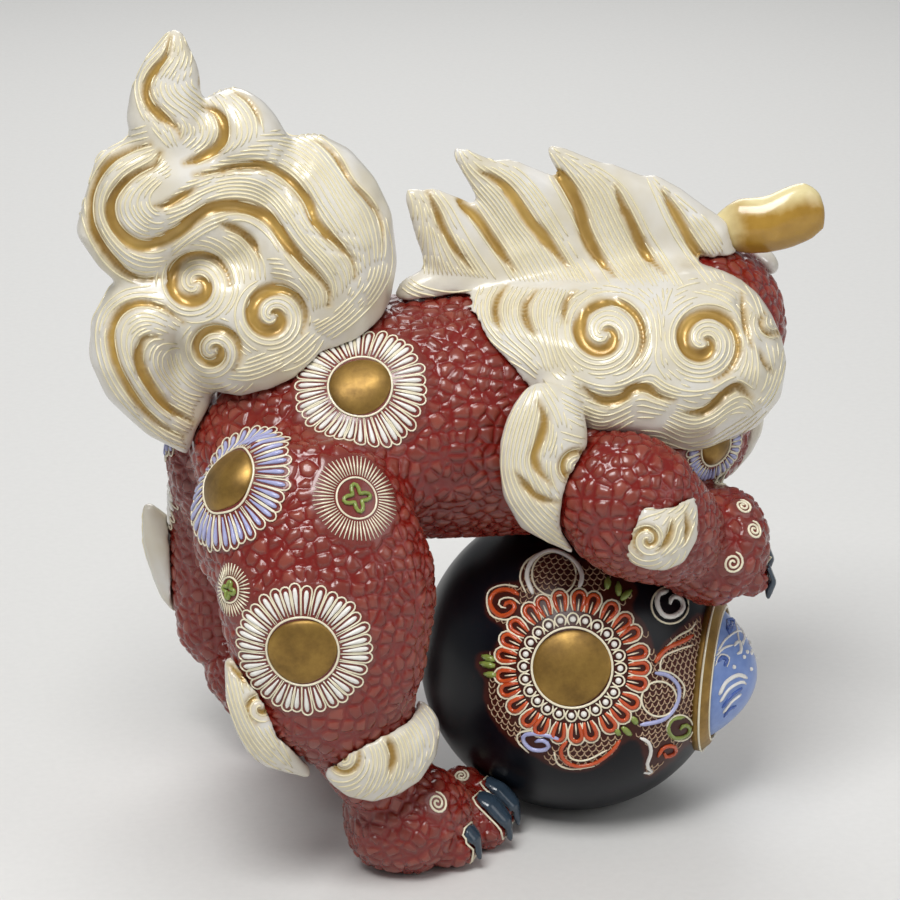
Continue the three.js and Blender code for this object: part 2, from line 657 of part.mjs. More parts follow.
layForms("tail_plume", CREAM_GLAZE, plumeLobes, [
  hollow(plumeLobes[0]),
  hollow(plumeLobes[4]),
  ...bothSides(joined(plumeLobes, 0), [...plumeGrooves, ...plumeCurls]),
]);
layForms(
  "tail_lower_lobe",
  CREAM_GLAZE,
  [lowerLobe, lobeFold],
  bothSides(joined([lowerLobe], 0), lobeGrooves),
);

// Hind legs: a leg and its haunch, luted to the flank, a paw, three claws and two tufts. The paws turn out, and the left
// one has stepped back onto its toes.

function hindLeg(sideName, sign, back, lift) {
  const out = (share) => sign * share * HIND_STANCE;
  const kneeZ = 0.55 * chestZ;
  const toeX = -BALL_BACK - BALL_RADIUS + TOES_PAST_BALL - back;
  const heelX = toeX - PAW_LENGTH;
  const ankleX = heelX + 0.09 * PAW_LENGTH;
  const thighHalves = [0.85, 1, 0.8].map((share) => share * THIGH_HALF_WIDTH);
  const shankHalves = [1, 0.8].map((share) => share * SHANK_HALF_WIDTH);
  const legForm = {
    path: [
      [hipX - 0.11 * THIGH_HALF_WIDTH, sign * 0.86 * BODY_HALF_WIDTH, chestZ + 0.42 * BODY_HALF_HEIGHT],
      [hipX - 0.09 * THIGH_HALF_WIDTH, out(1.12), 0.8 * chestZ],
      [hipX - 0.04 * THIGH_HALF_WIDTH - 0.35 * back, out(1.25), kneeZ],
      [ankleX, out(1.19), 0.36 * chestZ],
      [ankleX + 0.15 * PAW_LENGTH + 0.3 * lift, out(1.08), 0.5 * PAW_HEIGHT + 0.5 * lift],
    ],
    wide: [1.09, 1.36, 1.09, 0.82, 0.73].map((share) => share * SHANK_HALF_WIDTH),
    tall: [...thighHalves, ...shankHalves],
    blunt: 0.5,
    around: 15,
    along: 15,
  };
  const haunchForm = {
    path: [
      [rumpX + 0.12 * THIGH_HALF_WIDTH, sign * 0.3 * BODY_HALF_WIDTH, chestZ - 0.3 * BODY_HALF_HEIGHT],
      [hipX - 0.45 * THIGH_HALF_WIDTH, sign * 0.9 * BODY_HALF_WIDTH, chestZ - 0.34 * BODY_HALF_HEIGHT],
      [hipX + 0.2 * THIGH_HALF_WIDTH, sign * 0.95 * BODY_HALF_WIDTH, chestZ - 0.36 * BODY_HALF_HEIGHT],
    ],
    wide: [0.5, 0.58, 0.4].map((share) => share * THIGH_HALF_WIDTH),
    tall: [0.7, 0.88, 0.6].map((share) => share * THIGH_HALF_WIDTH),
    around: 10,
    along: 7,
  };
  const aboveAnkle = (values) => values.slice(0, 4);
  const legHollow = hollow({
    ...legForm,
    path: aboveAnkle(legForm.path),
    wide: aboveAnkle(legForm.wide),
    tall: aboveAnkle(legForm.tall),
  });
  layForms(`hind_leg_${sideName}`, RED_GLAZE, [legForm, haunchForm], [belowFloor, legHollow]);

  const turn = THREE.MathUtils.degToRad(PAW_TURN);
  const toeSide = [-sign * Math.sin(turn), Math.cos(turn), 0];
  // Toe tips, from the outer one in: how far back of the paw's front, and how far from its middle line.
  const toes = [
    [0.31, 0.5],
    [0.09, 0.02],
    [0, -0.46],
  ].map(([behind, outward]) => (ahead, z) => [
    toeX - behind * PAW_LENGTH + ahead * Math.cos(turn),
    out(0.96) + sign * (outward * PAW_HALF_WIDTH + ahead * Math.sin(turn)),
    z,
  ]);
  layForms(
    `hind_paw_${sideName}`,
    RED_GLAZE,
    [
      {
        path: [
          [heelX, out(1.04), 0.42 * PAW_HEIGHT + lift],
          [heelX + 0.36 * PAW_LENGTH, out(1), 0.45 * PAW_HEIGHT + 0.5 * lift],
          [heelX + 0.72 * PAW_LENGTH, out(0.92), 0.36 * PAW_HEIGHT + 0.1 * lift],
        ],
        wide: [0.82, 0.9, 0.66].map((share) => share * PAW_HALF_WIDTH),
        tall: [0.5, 0.53, 0.42].map((share) => share * PAW_HEIGHT),
        around: 14,
        along: 10,
      },
      ...toes.map((onToe) => ({
        path: [
          onToe(-0.42 * PAW_LENGTH, 0.5 * PAW_HEIGHT + 0.2 * lift),
          onToe(-0.16 * PAW_LENGTH, 0.92 * TOE_RADIUS),
          onToe(0.03 * PAW_LENGTH, 0.6 * TOE_RADIUS),
        ],
        wide: [1.05, 1.05, 0.8].map((share) => share * TOE_RADIUS),
        tall: [1.05, 1.05, 0.8].map((share) => share * TOE_RADIUS),
        side: toeSide,
        around: 9,
        along: 7,
      })),
    ],
    [belowFloor],
  );
  toes.forEach((onToe, i) => {
    layForms(
      `hind_claw_${sideName}_${i + 1}`,
      CLAW_GLAZE,
      [
        {
          path: [
            onToe(-0.68 * CLAW_LENGTH, 2.02 * TOE_RADIUS),
            onToe(-0.08 * CLAW_LENGTH, 1.5 * TOE_RADIUS),
            onToe(0.24 * CLAW_LENGTH, 0.28 * TOE_RADIUS),
          ],
          side: toeSide,
          wide: [1, 0.9, 0.25].map((share) => share * CLAW_HALF_WIDTH),
          tall: [0.8, 1, 0.5].map((share) => share * CLAW_THICKNESS),
          around: 8,
          along: 5,
        },
      ],
      [belowFloor],
    );
  });

  const hockX = hipX - 0.73 * THIGH_HALF_WIDTH - 0.35 * back;
  layForms(`heel_tuft_${sideName}`, CREAM_GLAZE, [
    {
      path: [
        [hockX - 1.25 * TUFT_THICKNESS, out(1.31), kneeZ + 1.75 * TUFT_THICKNESS + 0.3 * back],
        [hockX - 0.25 * TUFT_THICKNESS, out(1.35), kneeZ - 0.38 * TUFT_THICKNESS + 0.24 * back],
        [hockX + 0.75 * TUFT_THICKNESS, out(1.35), kneeZ - 2.5 * TUFT_THICKNESS + 0.12 * back],
        [hockX + 2.5 * TUFT_THICKNESS, out(1.29), kneeZ - 4.75 * TUFT_THICKNESS],
      ],
      wide: [0.7, 1.2, 1.2, 0.5].map((share) => share * TUFT_THICKNESS),
      tall: [0.6, 1.25, 1.4, 0.5].map((share) => share * TUFT_THICKNESS),
      around: 12,
    },
  ]);
  layForms(`ankle_tuft_${sideName}`, CREAM_GLAZE, [
    {
      path: [
        [ankleX - 2.25 * TUFT_THICKNESS, out(1.4), kneeZ - 3.62 * TUFT_THICKNESS],
        [ankleX - 0.38 * TUFT_THICKNESS, out(1.48), kneeZ - 3.62 * TUFT_THICKNESS],
        [ankleX + 1.38 * TUFT_THICKNESS, out(1.42), kneeZ - 3.12 * TUFT_THICKNESS],
        [ankleX + 3 * TUFT_THICKNESS, out(1.19), kneeZ - 2.12 * TUFT_THICKNESS],
      ],
      wide: [0.9, 1.3, 1.3, 1.2].map((share) => share * TUFT_THICKNESS),
      tall: [1.5, 2.2, 2.2, 1.6].map((share) => share * TUFT_THICKNESS),
      blunt: 0.5,
      around: 12,
      along: 10,
    },
  ]);
}

hindLeg("right", -1, 0, 0);
hindLeg("left", 1, LEFT_STEP_BACK, LEFT_HEEL_LIFT);

// Forelegs: an arm from the shoulder, and a paw that rests on the ball

function foreleg(sideName, sign) {
  const y = (value) => sign * value;
  const pawX = 0.62 * BALL_RADIUS;
  const pawY = 0.6 * BALL_RADIUS;
  const pawAway = Math.hypot(pawX + BALL_BACK, pawY);
  const pawZ = ballZ + Math.sqrt((BALL_RADIUS + FOREPAW_RADIUS) ** 2 - pawAway ** 2);
  layForms(`foreleg_${sideName}`, RED_GLAZE, [
    {
      path: [
        [-0.75 * ARM_RADIUS, y(0.9 * BODY_HALF_WIDTH), chestZ + 0.5 * ARM_RADIUS],
        [-0.21 * ARM_RADIUS, y(1.1 * BODY_HALF_WIDTH), chestZ - 0.42 * ARM_RADIUS],
        [0.58 * ARM_RADIUS, y(1.0 * BODY_HALF_WIDTH), chestZ - 1.08 * ARM_RADIUS],
        [0.9 * pawX, y(pawY + 0.23 * FOREPAW_RADIUS), pawZ + 0.14 * FOREPAW_RADIUS],
      ],
      wide: [0.9, 0.95, 0.9, 0.75].map((share) => share * ARM_RADIUS),
      tall: [1.2, 1.2, 1, 0.78].map((share) => share * ARM_RADIUS),
      around: 14,
      along: 12,
    },
  ]);

  const toes = [-1, 0, 1].map((place) => ({
    toeX: pawX + (0.64 - 0.14 * Math.abs(place)) * FOREPAW_RADIUS,
    toeY: y(pawY - 0.18 * FOREPAW_RADIUS) + place * 0.62 * FOREPAW_RADIUS,
    toeZ: pawZ - (sign * place > 0 ? 0.59 : 0.41) * FOREPAW_RADIUS,
  }));
  layForms(`forepaw_${sideName}`, RED_GLAZE, [
    {
      path: [
        [pawX - 1.18 * FOREPAW_RADIUS, y(pawY + 0.41 * FOREPAW_RADIUS), pawZ + 0.18 * FOREPAW_RADIUS],
        [pawX, y(pawY), pawZ],
        [pawX + 0.68 * FOREPAW_RADIUS, y(pawY - 0.18 * FOREPAW_RADIUS), pawZ - 0.32 * FOREPAW_RADIUS],
      ],
      wide: [0.95, 1.05, 0.95].map((share) => share * FOREPAW_RADIUS),
      tall: [1, 1.12, 0.8].map((share) => share * FOREPAW_RADIUS),
      around: 12,
      along: 10,
    },
    ...toes.map(({ toeX, toeY, toeZ }) => ({
      path: [
        [toeX - 2.1 * FORETOE_RADIUS, toeY, toeZ + 1.2 * FORETOE_RADIUS],
        [toeX - 0.47 * FORETOE_RADIUS, toeY, toeZ + 0.59 * FORETOE_RADIUS],
        [toeX + 0.47 * FORETOE_RADIUS, toeY, toeZ - 0.35 * FORETOE_RADIUS],
      ],
      wide: [FORETOE_RADIUS, FORETOE_RADIUS, 0.9 * FORETOE_RADIUS],
      tall: [FORETOE_RADIUS, FORETOE_RADIUS, 0.9 * FORETOE_RADIUS],
      around: 9,
      along: 6,
    })),
  ]);
  toes.forEach(({ toeX, toeY, toeZ }, i) => {
    layForms(`fore_claw_${sideName}_${i + 1}`, CLAW_GLAZE, [
      {
        path: [
          [toeX - 0.35 * FORETOE_RADIUS, toeY, toeZ + 1.45 * FORETOE_RADIUS],
          [toeX + 0.75 * FORETOE_RADIUS, toeY, toeZ + 0.5 * FORETOE_RADIUS],
          [toeX + 0.7 * FORETOE_RADIUS, toeY, toeZ + 0.5 * FORETOE_RADIUS - 0.7 * CLAW_LENGTH],
        ],
        wide: [0.67, 0.63, 0.2].map((share) => share * CLAW_HALF_WIDTH),
        tall: [0.7, 0.9, 0.4].map((share) => share * CLAW_THICKNESS),
        around: 8,
        along: 5,
      },
    ]);
  });
  layForms(`wrist_tuft_${sideName}`, CREAM_GLAZE, [
    {
      path: [
        [-1.38 * TUFT_THICKNESS, y(1.42 * BODY_HALF_WIDTH), chestZ - 3 * TUFT_THICKNESS],
        [0.38 * TUFT_THICKNESS, y(1.44 * BODY_HALF_WIDTH), chestZ - 2.12 * TUFT_THICKNESS],
        [2.25 * TUFT_THICKNESS, y(1.2 * BODY_HALF_WIDTH), chestZ - 0.25 * TUFT_THICKNESS],
      ],
      wide: [0.8, 1.2, 1].map((share) => share * TUFT_THICKNESS),
      tall: [1.25, 2, 1.2].map((share) => share * TUFT_THICKNESS),
      around: 12,
      along: 10,
    },
  ]);
}

foreleg("right", -1);
foreleg("left", 1);

layForms("mane_flap_right", CREAM_GLAZE, [flapForm]);
layForms("mane_flap_left", CREAM_GLAZE, [mirrored(flapForm)]);
layForms("mane_crest", CREAM_GLAZE, [...crestLocks, crestRidge]);

const beardUp = -0.6 * HEAD_HALF_HEIGHT;
layForms("beard", CREAM_GLAZE, [
  {
    path: [
      onHead(0.6 * HEAD_HALF_WIDTH, 0, beardUp),
      onHead(0.55 * HEAD_HALF_WIDTH, -0.05 * BEARD_LENGTH, beardUp - BEARD_LENGTH / 2),
      onHead(0.4 * HEAD_HALF_WIDTH, -0.1 * BEARD_LENGTH, beardUp - BEARD_LENGTH),
    ],
    wide: [0.3, 0.25, 0.1].map((share) => share * BEARD_LENGTH),
    tall: [0.22, 0.2, 0.1].map((share) => share * BEARD_LENGTH),
    around: 10,
    along: 8,
  },
]);

// The part's origin is the middle of its footprint, on the floor

const extent = new THREE.Box3().setFromObject(figure);
const middle = extent.getCenter(new THREE.Vector3());
figure.position.set(-middle.x, -middle.y, -extent.min.z);

export default figure;
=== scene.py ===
import math

import bmesh
import bpy
import numpy as np
from mathutils import Matrix, Vector
from mathutils.bvhtree import BVHTree
from mathutils.kdtree import KDTree


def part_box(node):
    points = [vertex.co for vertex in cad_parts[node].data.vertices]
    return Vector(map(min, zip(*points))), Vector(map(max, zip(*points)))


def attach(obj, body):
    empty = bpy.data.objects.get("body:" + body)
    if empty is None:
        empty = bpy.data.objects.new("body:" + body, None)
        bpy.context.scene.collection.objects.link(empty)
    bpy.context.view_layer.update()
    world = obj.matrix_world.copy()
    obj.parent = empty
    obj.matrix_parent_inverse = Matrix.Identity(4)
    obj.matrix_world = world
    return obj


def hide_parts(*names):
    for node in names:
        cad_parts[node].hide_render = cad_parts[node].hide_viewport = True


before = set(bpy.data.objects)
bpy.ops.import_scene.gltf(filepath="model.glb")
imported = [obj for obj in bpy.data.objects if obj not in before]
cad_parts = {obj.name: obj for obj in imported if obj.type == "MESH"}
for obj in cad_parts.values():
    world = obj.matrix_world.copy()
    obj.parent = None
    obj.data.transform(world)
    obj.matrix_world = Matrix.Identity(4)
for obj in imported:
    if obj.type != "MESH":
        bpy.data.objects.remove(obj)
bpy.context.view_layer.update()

# The studio: a pale painted table that runs on behind the figure, one large soft lamp in front on the
# left, two weaker ones, and a camera on a long lens that looks down on the lion's right side.
scene = bpy.context.scene
scene.view_settings.view_transform = "Standard"
PHOTO_SIDE = 900
FOCAL_PIXELS = 3640
EYE_DISTANCE = 1.4
ball_low, ball_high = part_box("ball")
ball_radius = (ball_high.x - ball_low.x) / 2
ball_centre = (ball_low + ball_high) / 2
ball_centre.z = ball_high.z - ball_radius
aim = Vector((ball_centre.x - 0.05, ball_centre.y, 0.1473))
heading = math.radians(-12)
rise = math.radians(20)
back = Vector((math.sin(heading) * math.cos(rise), -math.cos(heading) * math.cos(rise), math.sin(rise)))
eye = aim + EYE_DISTANCE * back
turned = back.to_track_quat("Z", "Y")
camera = bpy.data.objects.new("camera", bpy.data.cameras.new("camera"))
camera.data.sensor_width = 36
camera.data.lens = 36 * FOCAL_PIXELS / PHOTO_SIDE
camera.location = eye
camera.rotation_euler = turned.to_euler()
scene.collection.objects.link(camera)
scene.camera = camera


def linear(hex_colour):
    """An sRGB hex colour as linear red, green, blue and alpha."""
    parts = [int(hex_colour[i:i + 2], 16) / 255 for i in (1, 3, 5)]
    return tuple(((p + 0.055) / 1.055) ** 2.4 if p > 0.04045 else p / 12.92 for p in parts) + (1.0,)


def node(tree, kind, sockets, family="ShaderNode", **settings):
    """Adds a node, sets it, and links or fills its sockets. Gives back its outputs."""
    made = tree.nodes.new(family + kind)
    for key, value in settings.items():
        setattr(made, key, value)
    for key, value in sockets.items():
        if isinstance(value, bpy.types.NodeSocket):
            tree.links.new(value, made.inputs[key])
        else:
            made.inputs[key].default_value = value
    return made.outputs


def new_material(name):
    """An empty node material and its tree."""
    material = bpy.data.materials.new(name)
    material.use_nodes = True
    material.node_tree.nodes.clear()
    return material, material.node_tree


def noise(tree, place, size, detail):
    """Cloudy noise with lumps of the given size."""
    return node(tree, "TexNoise", {"Vector": place, "Scale": 1 / size, "Detail": detail})["Fac"]


def blend(tree, share, low, high):
    """Two tones, each a hex colour or a socket, mixed by a share."""
    low, high = (linear(tone) if isinstance(tone, str) else tone for tone in (low, high))
    return node(tree, "Mix", {0: share, 6: low, 7: high}, data_type="RGBA")[2]


def between(tree, share, low, high):
    """A value from low to high, by a share."""
    return node(tree, "MapRange", {"Value": share, "To Min": low, "To Max": high})[0]


def fired(tree, sockets):
    """Ends a material in one surface."""
    node(tree, "OutputMaterial", {"Surface": node(tree, "BsdfPrincipled", sockets)[0]})


def mesh_of(form, name):
    """A finished bmesh as a mesh. The bmesh is put away."""
    mesh = bpy.data.meshes.new(name)
    form.to_mesh(mesh)
    form.free()
    return mesh


# Matt wall paint, rolled: an even pale grey with a faint stipple.
table_paint, tree = new_material("matt_table_paint")
place = node(tree, "TexCoord", {})["Object"]
stipple = noise(tree, place, 1 / 300, 2.0)
tone = blend(tree, stipple, "#d6d5d2", "#dddcd9")
rough = between(tree, stipple, 0.6, 0.7)
fired(tree, {"Base Color": tone, "Roughness": rough})
form = bmesh.new()
bmesh.ops.create_grid(form, x_segments=2, y_segments=2, size=5)
bmesh.ops.translate(form, verts=form.verts, vec=(0, 0, -0.0003))
table = bpy.data.objects.new("table", mesh_of(form, "table"))
table.data.materials.append(table_paint)
scene.collection.objects.link(table)

world = bpy.data.worlds.new("studio")
scene.world = world
world.use_nodes = True
world.node_tree.nodes["Background"].inputs["Color"].default_value = linear("#dfe1e4")
world.node_tree.nodes["Background"].inputs["Strength"].default_value = 0.36
for name, spot, size, watts in (
    ("key_lamp", (-0.45, -0.78, 1.65), 0.8, 26),
    ("fill_lamp", (1.2, -0.9, 0.8), 1.0, 4),
    ("back_lamp", (0.2, 1.3, 1.1), 1.0, 10),
):
    lamp = bpy.data.objects.new(name, bpy.data.lights.new(name, "AREA"))
    lamp.data.size = size
    lamp.data.energy = watts
    lamp.location = spot
    lamp.rotation_euler = (Vector(spot) - Vector((0, 0, 0.14))).to_track_quat("Z", "Y").to_euler()
    scene.collection.objects.link(lamp)


# The hide: trunk, limbs, paws and head, pressed into a mould in two halves and luted into one hollow body
# of red-firing clay. It is tooled all over into rounded pebbles, and left smooth where the slip goes.
def clay_of(names, *meshes):
    """The named solids, and any meshes, as one merged mesh."""
    clay = bmesh.new()
    for name in names:
        clay.from_mesh(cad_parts[name].data)
    for mesh in meshes:
        clay.from_mesh(mesh)
    bmesh.ops.remove_doubles(clay, verts=clay.verts, dist=1e-6)
    return mesh_of(clay, "clay")


def taken(form):
    """The finished mesh of an object with its modifiers; the object is put away."""
    mesh = bpy.data.meshes.new_from_object(form.evaluated_get(bpy.context.evaluated_depsgraph_get()))
    bpy.data.objects.remove(form)
    return mesh


def rubbed(mesh, voxel, rounds):
    """A mesh rubbed smooth, after it is pressed into one closed skin if a voxel is given."""
    form = bpy.data.objects.new("clay", mesh)
    scene.collection.objects.link(form)
    if voxel:
        net = form.modifiers.new("net", "REMESH")
        net.mode = "VOXEL"
        net.voxel_size = voxel
    rub = form.modifiers.new("rub", "SMOOTH")
    rub.factor = 0.5
    rub.iterations = rounds
    return taken(form)


def smooth_step(low, high, value):
    share = np.clip((value - low) / (high - low), 0, 1)
    return share * share * (3 - 2 * share)


def corners_of(mesh):
    """A mesh's corners as an array."""
    flat = np.empty(3 * len(mesh.vertices))
    mesh.vertices.foreach_get("co", flat)
    return flat.reshape(-1, 3)


def filled(mesh, rounds):
    """A skin with its creases filled, as slip does at a join. What stands out is left as it is."""
    soft = rubbed(mesh, None, rounds)
    outward = np.empty(3 * len(soft.vertices))
    soft.vertices.foreach_get("normal", outward)
    moved = corners_of(soft) - corners_of(mesh)
    share = smooth_step(-0.0003, 0.0006, np.einsum("ij,ij->i", moved, outward.reshape(-1, 3)))
    mesh.vertices.foreach_set("co", (corners_of(mesh) + share[:, None] * moved).ravel())
    mesh.update()
    return mesh


def skin(names, voxel, rounds, fine_voxel, fine_rounds, late=(), fill=0, plugs=()):
    """One closed outer skin over the named solids, rubbed twice. The late ones join before the second, and
    plugs stop the vents, so that the hollow inside isn't skinned too."""
    body = rubbed(clay_of(names, *plugs), voxel, rounds)
    if fill:
        body = filled(body, fill)
    mesh = rubbed(clay_of(late, body), fine_voxel, fine_rounds)
    shell = bmesh.new()
    shell.from_mesh(mesh)
    loose = set(shell.verts)
    largest = set()
    while loose:
        reached = {loose.pop()}
        front = list(reached)
        while front:
            front = list({e.other_vert(v) for v in front for e in v.link_edges} & loose)
            loose.difference_update(front)
            reached.update(front)
        largest = max(largest, reached, key=len)
    bmesh.ops.delete(shell, geom=[v for v in shell.verts if v not in largest], context="VERTS")
    shell.to_mesh(mesh)
    shell.free()
    return mesh


def set_piece(name, mesh, material, slot, *nodes):
    """Puts a finished mesh in the scene as a piece of the figure."""
    mesh.name = name
    mesh.materials.clear()
    mesh.materials.append(material)
    mesh.polygons.foreach_set("use_smooth", [True] * len(mesh.polygons))
    piece = bpy.data.objects.new(name, mesh)
    scene.collection.objects.link(piece)
    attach(piece, "root")
    if nodes:
        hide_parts(*nodes)
    return piece


def tree_of(mesh):
    """A search tree over a mesh, to lay other pieces on it."""
    return BVHTree.FromPolygons([v.co for v in mesh.vertices], [p.vertices for p in mesh.polygons])


def sight(u, v):
    """The line of sight through a pixel of the photograph."""
    middle = PHOTO_SIDE / 2
    return (turned @ Vector(((u - middle) / FOCAL_PIXELS, (middle - v) / FOCAL_PIXELS, -1))).normalized()


def note(mesh, name, values):
    """Writes one number for each corner of a mesh, for its material to read."""
    mesh.attributes.new(name, "FLOAT", "POINT").data.foreach_set("value", np.asarray(values, "f"))


def noted(tree, name):
    """The numbers written on a mesh, as its material reads them."""
    return node(tree, "Attribute", {}, attribute_name=name)["Fac"]


def bumped(tree, height, strength, distance):
    return node(tree, "Bump", {"Height": height, "Strength": strength, "Distance": distance})[0]


def middle_of(name):
    low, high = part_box(name)
    return (low + high) / 2


def other_side(point, step=Vector()):
    """The like place on the lion's other side."""
    return Vector((point.x, 2 * ball_centre.y - point.y, point.z)) + step


SIDES = ("right", "left")
BODY = ["torso", "head", "lower_jaw"]
BODY += [limb + side for limb in ("hind_leg_", "foreleg_") for side in SIDES]
PAWS = [limb + side for limb in ("hind_paw_", "forepaw_") for side in SIDES]
VENT = Vector((-0.0579, 0.0003, 0.125))
VENT_RADIUS = 0.008
stopper = bmesh.new()
bmesh.ops.create_cone(stopper, cap_ends=True, segments=24, radius1=VENT_RADIUS, radius2=VENT_RADIUS,
                      depth=0.007)
bmesh.ops.translate(stopper, verts=stopper.verts, vec=VENT)
vent_plug = mesh_of(stopper, "vent_plug")
HIDE_VOXEL = 0.00112
hide_mesh = skin(BODY, 0.0022, 8, HIDE_VOXEL, 6, PAWS, 100, (vent_plug,))
hide = tree_of(hide_mesh)
toe_step, heel_step, ankle_step = (
    middle_of(name.format("left")) - other_side(middle_of(name.format("right")))
    for name in ("hind_claw_{}_2", "heel_tuft_{}", "ankle_tuft_{}")
)


def disc_on(tree, centre, radius):
    """A round place on a skin: its middle, its mean outward direction, and its two axes."""
    outward = tree.find_nearest(centre)[1]
    for turn in range(3):
        up = (Vector((0, 0, 1)) - outward.z * outward).normalized()
        across = up.cross(outward)
        total = Vector()
        for step in range(12):
            angle = step * math.pi / 6
            rim = centre + 0.7 * radius * (math.cos(angle) * across + math.sin(angle) * up)
            total += tree.find_nearest(rim)[1]
        outward = total.normalized()
    up = (Vector((0, 0, 1)) - outward.z * outward).normalized()
    across = up.cross(outward)
    return {"tree": tree, "centre": centre, "out": outward, "across": across, "up": up, "radius": radius}


RAY_START = 0.012
RAY_REACH = 0.03


def on_disc(disc, radius, angle, lift=0.0):
    """A point of the disc, at a radius and an angle, laid on the skin."""
    foot = disc["centre"] + radius * (math.cos(angle) * disc["across"] + math.sin(angle) * disc["up"])
    hit, normal = disc["tree"].ray_cast(foot + RAY_START * disc["out"], -disc["out"], RAY_REACH)[:2]
    if hit is None:
        hit, normal = disc["tree"].find_nearest(foot)[:2]
    return hit + lift * normal


def on_both_sides(pixel, radius, step):
    """The disc that shows at a pixel of the photograph, and the like one on the other side."""
    seen = hide.ray_cast(eye, sight(*pixel))[0]
    if seen is None:
        return []
    spots = (seen, hide.find_nearest(other_side(seen, step))[0])
    return [disc_on(hide, spot, radius / 1000) for spot in spots]


rosettes = []
for kind, pixel, radius, gold_radius, step in (
    ("white", (360, 385), 25.0, 11.3, Vector()),
    ("lavender", (223, 477), 26.0, 12.5, Vector()),
    ("fine", (357, 498), 16.5, 0, Vector()),
    ("fine", (229, 590), 10.0, 0, heel_step),
    ("white", (302, 652), 25.5, 12.6, heel_step),
    ("lavender", (716, 446), 16.0, 7.5, Vector()),
):
    for disc in on_both_sides(pixel, radius, step):
        disc["kind"] = kind
        disc["gold"] = gold_radius / 1000
        rosettes.append(disc)
spirals = []
for pixel, radius, step in (
    ((437, 803), 4.6, toe_step),
    ((461, 776), 3.2, toe_step),
    ((471, 764), 3.6, toe_step),
    ((733, 563), 4.5, Vector()),
    ((754, 530), 3.8, Vector()),
    ((743, 506), 3.6, Vector()),
    ((719, 484), 3.2, Vector()),
):
    spirals += on_both_sides(pixel, radius, step)

corners = corners_of(hide_mesh)
smooth_share = np.zeros(len(corners))
for disc in rosettes + spirals:
    away = np.linalg.norm(corners - np.array(disc["centre"]), axis=1)
    edge = disc["radius"]
    smooth_share = np.maximum(smooth_share, 1 - smooth_step(edge + 0.0003, edge + 0.0022, away))
note(hide_mesh, "bare", smooth_share)
hide_mesh.attributes.new("rest", "FLOAT_VECTOR", "POINT").data.foreach_set("vector", corners.ravel())

PEBBLE = 0.0052
PEBBLE_DEPTH = 0.0009
PEBBLE_WANDER = 0.0022


def pebbles(tree, place):
    """The tooled pebbles at a place in the clay: how high it stands, and a tone for each pebble."""
    drift = node(tree, "TexNoise", {"Vector": place, "Scale": 1 / 0.009, "Detail": 2.0})["Color"]
    wander = node(tree, "VectorMath", {0: drift, 1: (-0.5, -0.5, -0.5)}, operation="ADD")[0]
    wander = node(tree, "VectorMath", {0: wander, "Scale": PEBBLE_WANDER}, operation="SCALE")[0]
    bent = node(tree, "VectorMath", {0: place, 1: wander}, operation="ADD")[0]
    cells = {"Vector": bent, "Scale": 1 / PEBBLE, "Randomness": 0.85}
    edge = node(tree, "TexVoronoi", cells, feature="DISTANCE_TO_EDGE")["Distance"]
    own = node(tree, "TexVoronoi", cells)
    own_tone = node(tree, "SeparateXYZ", {0: own["Color"]})[0]
    slope = node(tree, "MapRange", {0: edge, 2: 0.22}, interpolation_type="SMOOTHSTEP")[0]
    span = {0: own["Distance"], 1: 0.4, 2: 0.8, 3: 1.0, 4: 0.6}
    rounded = node(tree, "MapRange", span, interpolation_type="SMOOTHSTEP")[0]
    return node(tree, "Math", {0: slope, 1: rounded}, operation="MULTIPLY")[0], own_tone


tooling = bpy.data.node_groups.new("pebble_tooling", "GeometryNodeTree")
for way in ("INPUT", "OUTPUT"):
    tooling.interface.new_socket("Geometry", in_out=way, socket_type="NodeSocketGeometry")
untooled = node(tooling, "GroupInput", {}, "Node")["Geometry"]
raised, own_tone = pebbles(tooling, node(tooling, "InputPosition", {}, "GeometryNode")[0])
kept = node(tooling, "InputNamedAttribute", {"Name": "bare"}, "GeometryNode", data_type="FLOAT")[0]
sunk = node(tooling, "Math", {0: raised, 1: 1.0}, operation="SUBTRACT")[0]
tooled = node(tooling, "Math", {0: 1.0, 1: kept}, operation="SUBTRACT")[0]
sunk = node(tooling, "Math", {0: sunk, 1: tooled}, operation="MULTIPLY")[0]
sunk = node(tooling, "Math", {0: sunk, 1: PEBBLE_DEPTH}, operation="MULTIPLY")[0]
outward = node(tooling, "InputNormal", {}, "GeometryNode")[0]
inward = node(tooling, "VectorMath", {0: outward, "Scale": sunk}, operation="SCALE")[0]
moved = node(tooling, "SetPosition", {"Geometry": untooled, "Offset": inward}, "GeometryNode")[0]
node(tooling, "GroupOutput", {0: moved}, "Node")
clay = bpy.data.objects.new("clay", hide_mesh)
scene.collection.objects.link(clay)
clay.modifiers.new("tooling", "NODES").node_group = tooling
hide_mesh = taken(clay)

# Oxblood glaze over tooled clay: it thins to a dull pinkish brown on the pebbles and pools bright and deep
# red between them; a hard wet gloss with small sharp lights.
oxblood, tree = new_material("oxblood_glaze_on_pebbled_clay")
place = node(tree, "Attribute", {}, attribute_name="rest")["Vector"]
plain = noted(tree, "bare")
raised, own_tone = pebbles(tree, place)
top_tone = blend(tree, own_tone, "#7a3025", "#944839")
skin_tone = blend(tree, raised, "#7c120a", top_tone)
cloud = noise(tree, place, 0.035, 3.0)
shade = node(tree, "MapRange", {"Value": cloud, "From Min": 0.35, "From Max": 0.7, "To Max": 0.35})[0]
skin_tone = blend(tree, shade, skin_tone, "#5f1b15")
skin_tone = blend(tree, plain, skin_tone, "#76312a")
rough = between(tree, raised, 0.2, 0.3)
level = node(tree, "Mix", {0: plain, 2: raised, 3: 0.9}, data_type="FLOAT")[0]
grit = noise(tree, place, 0.0013, 2.0)
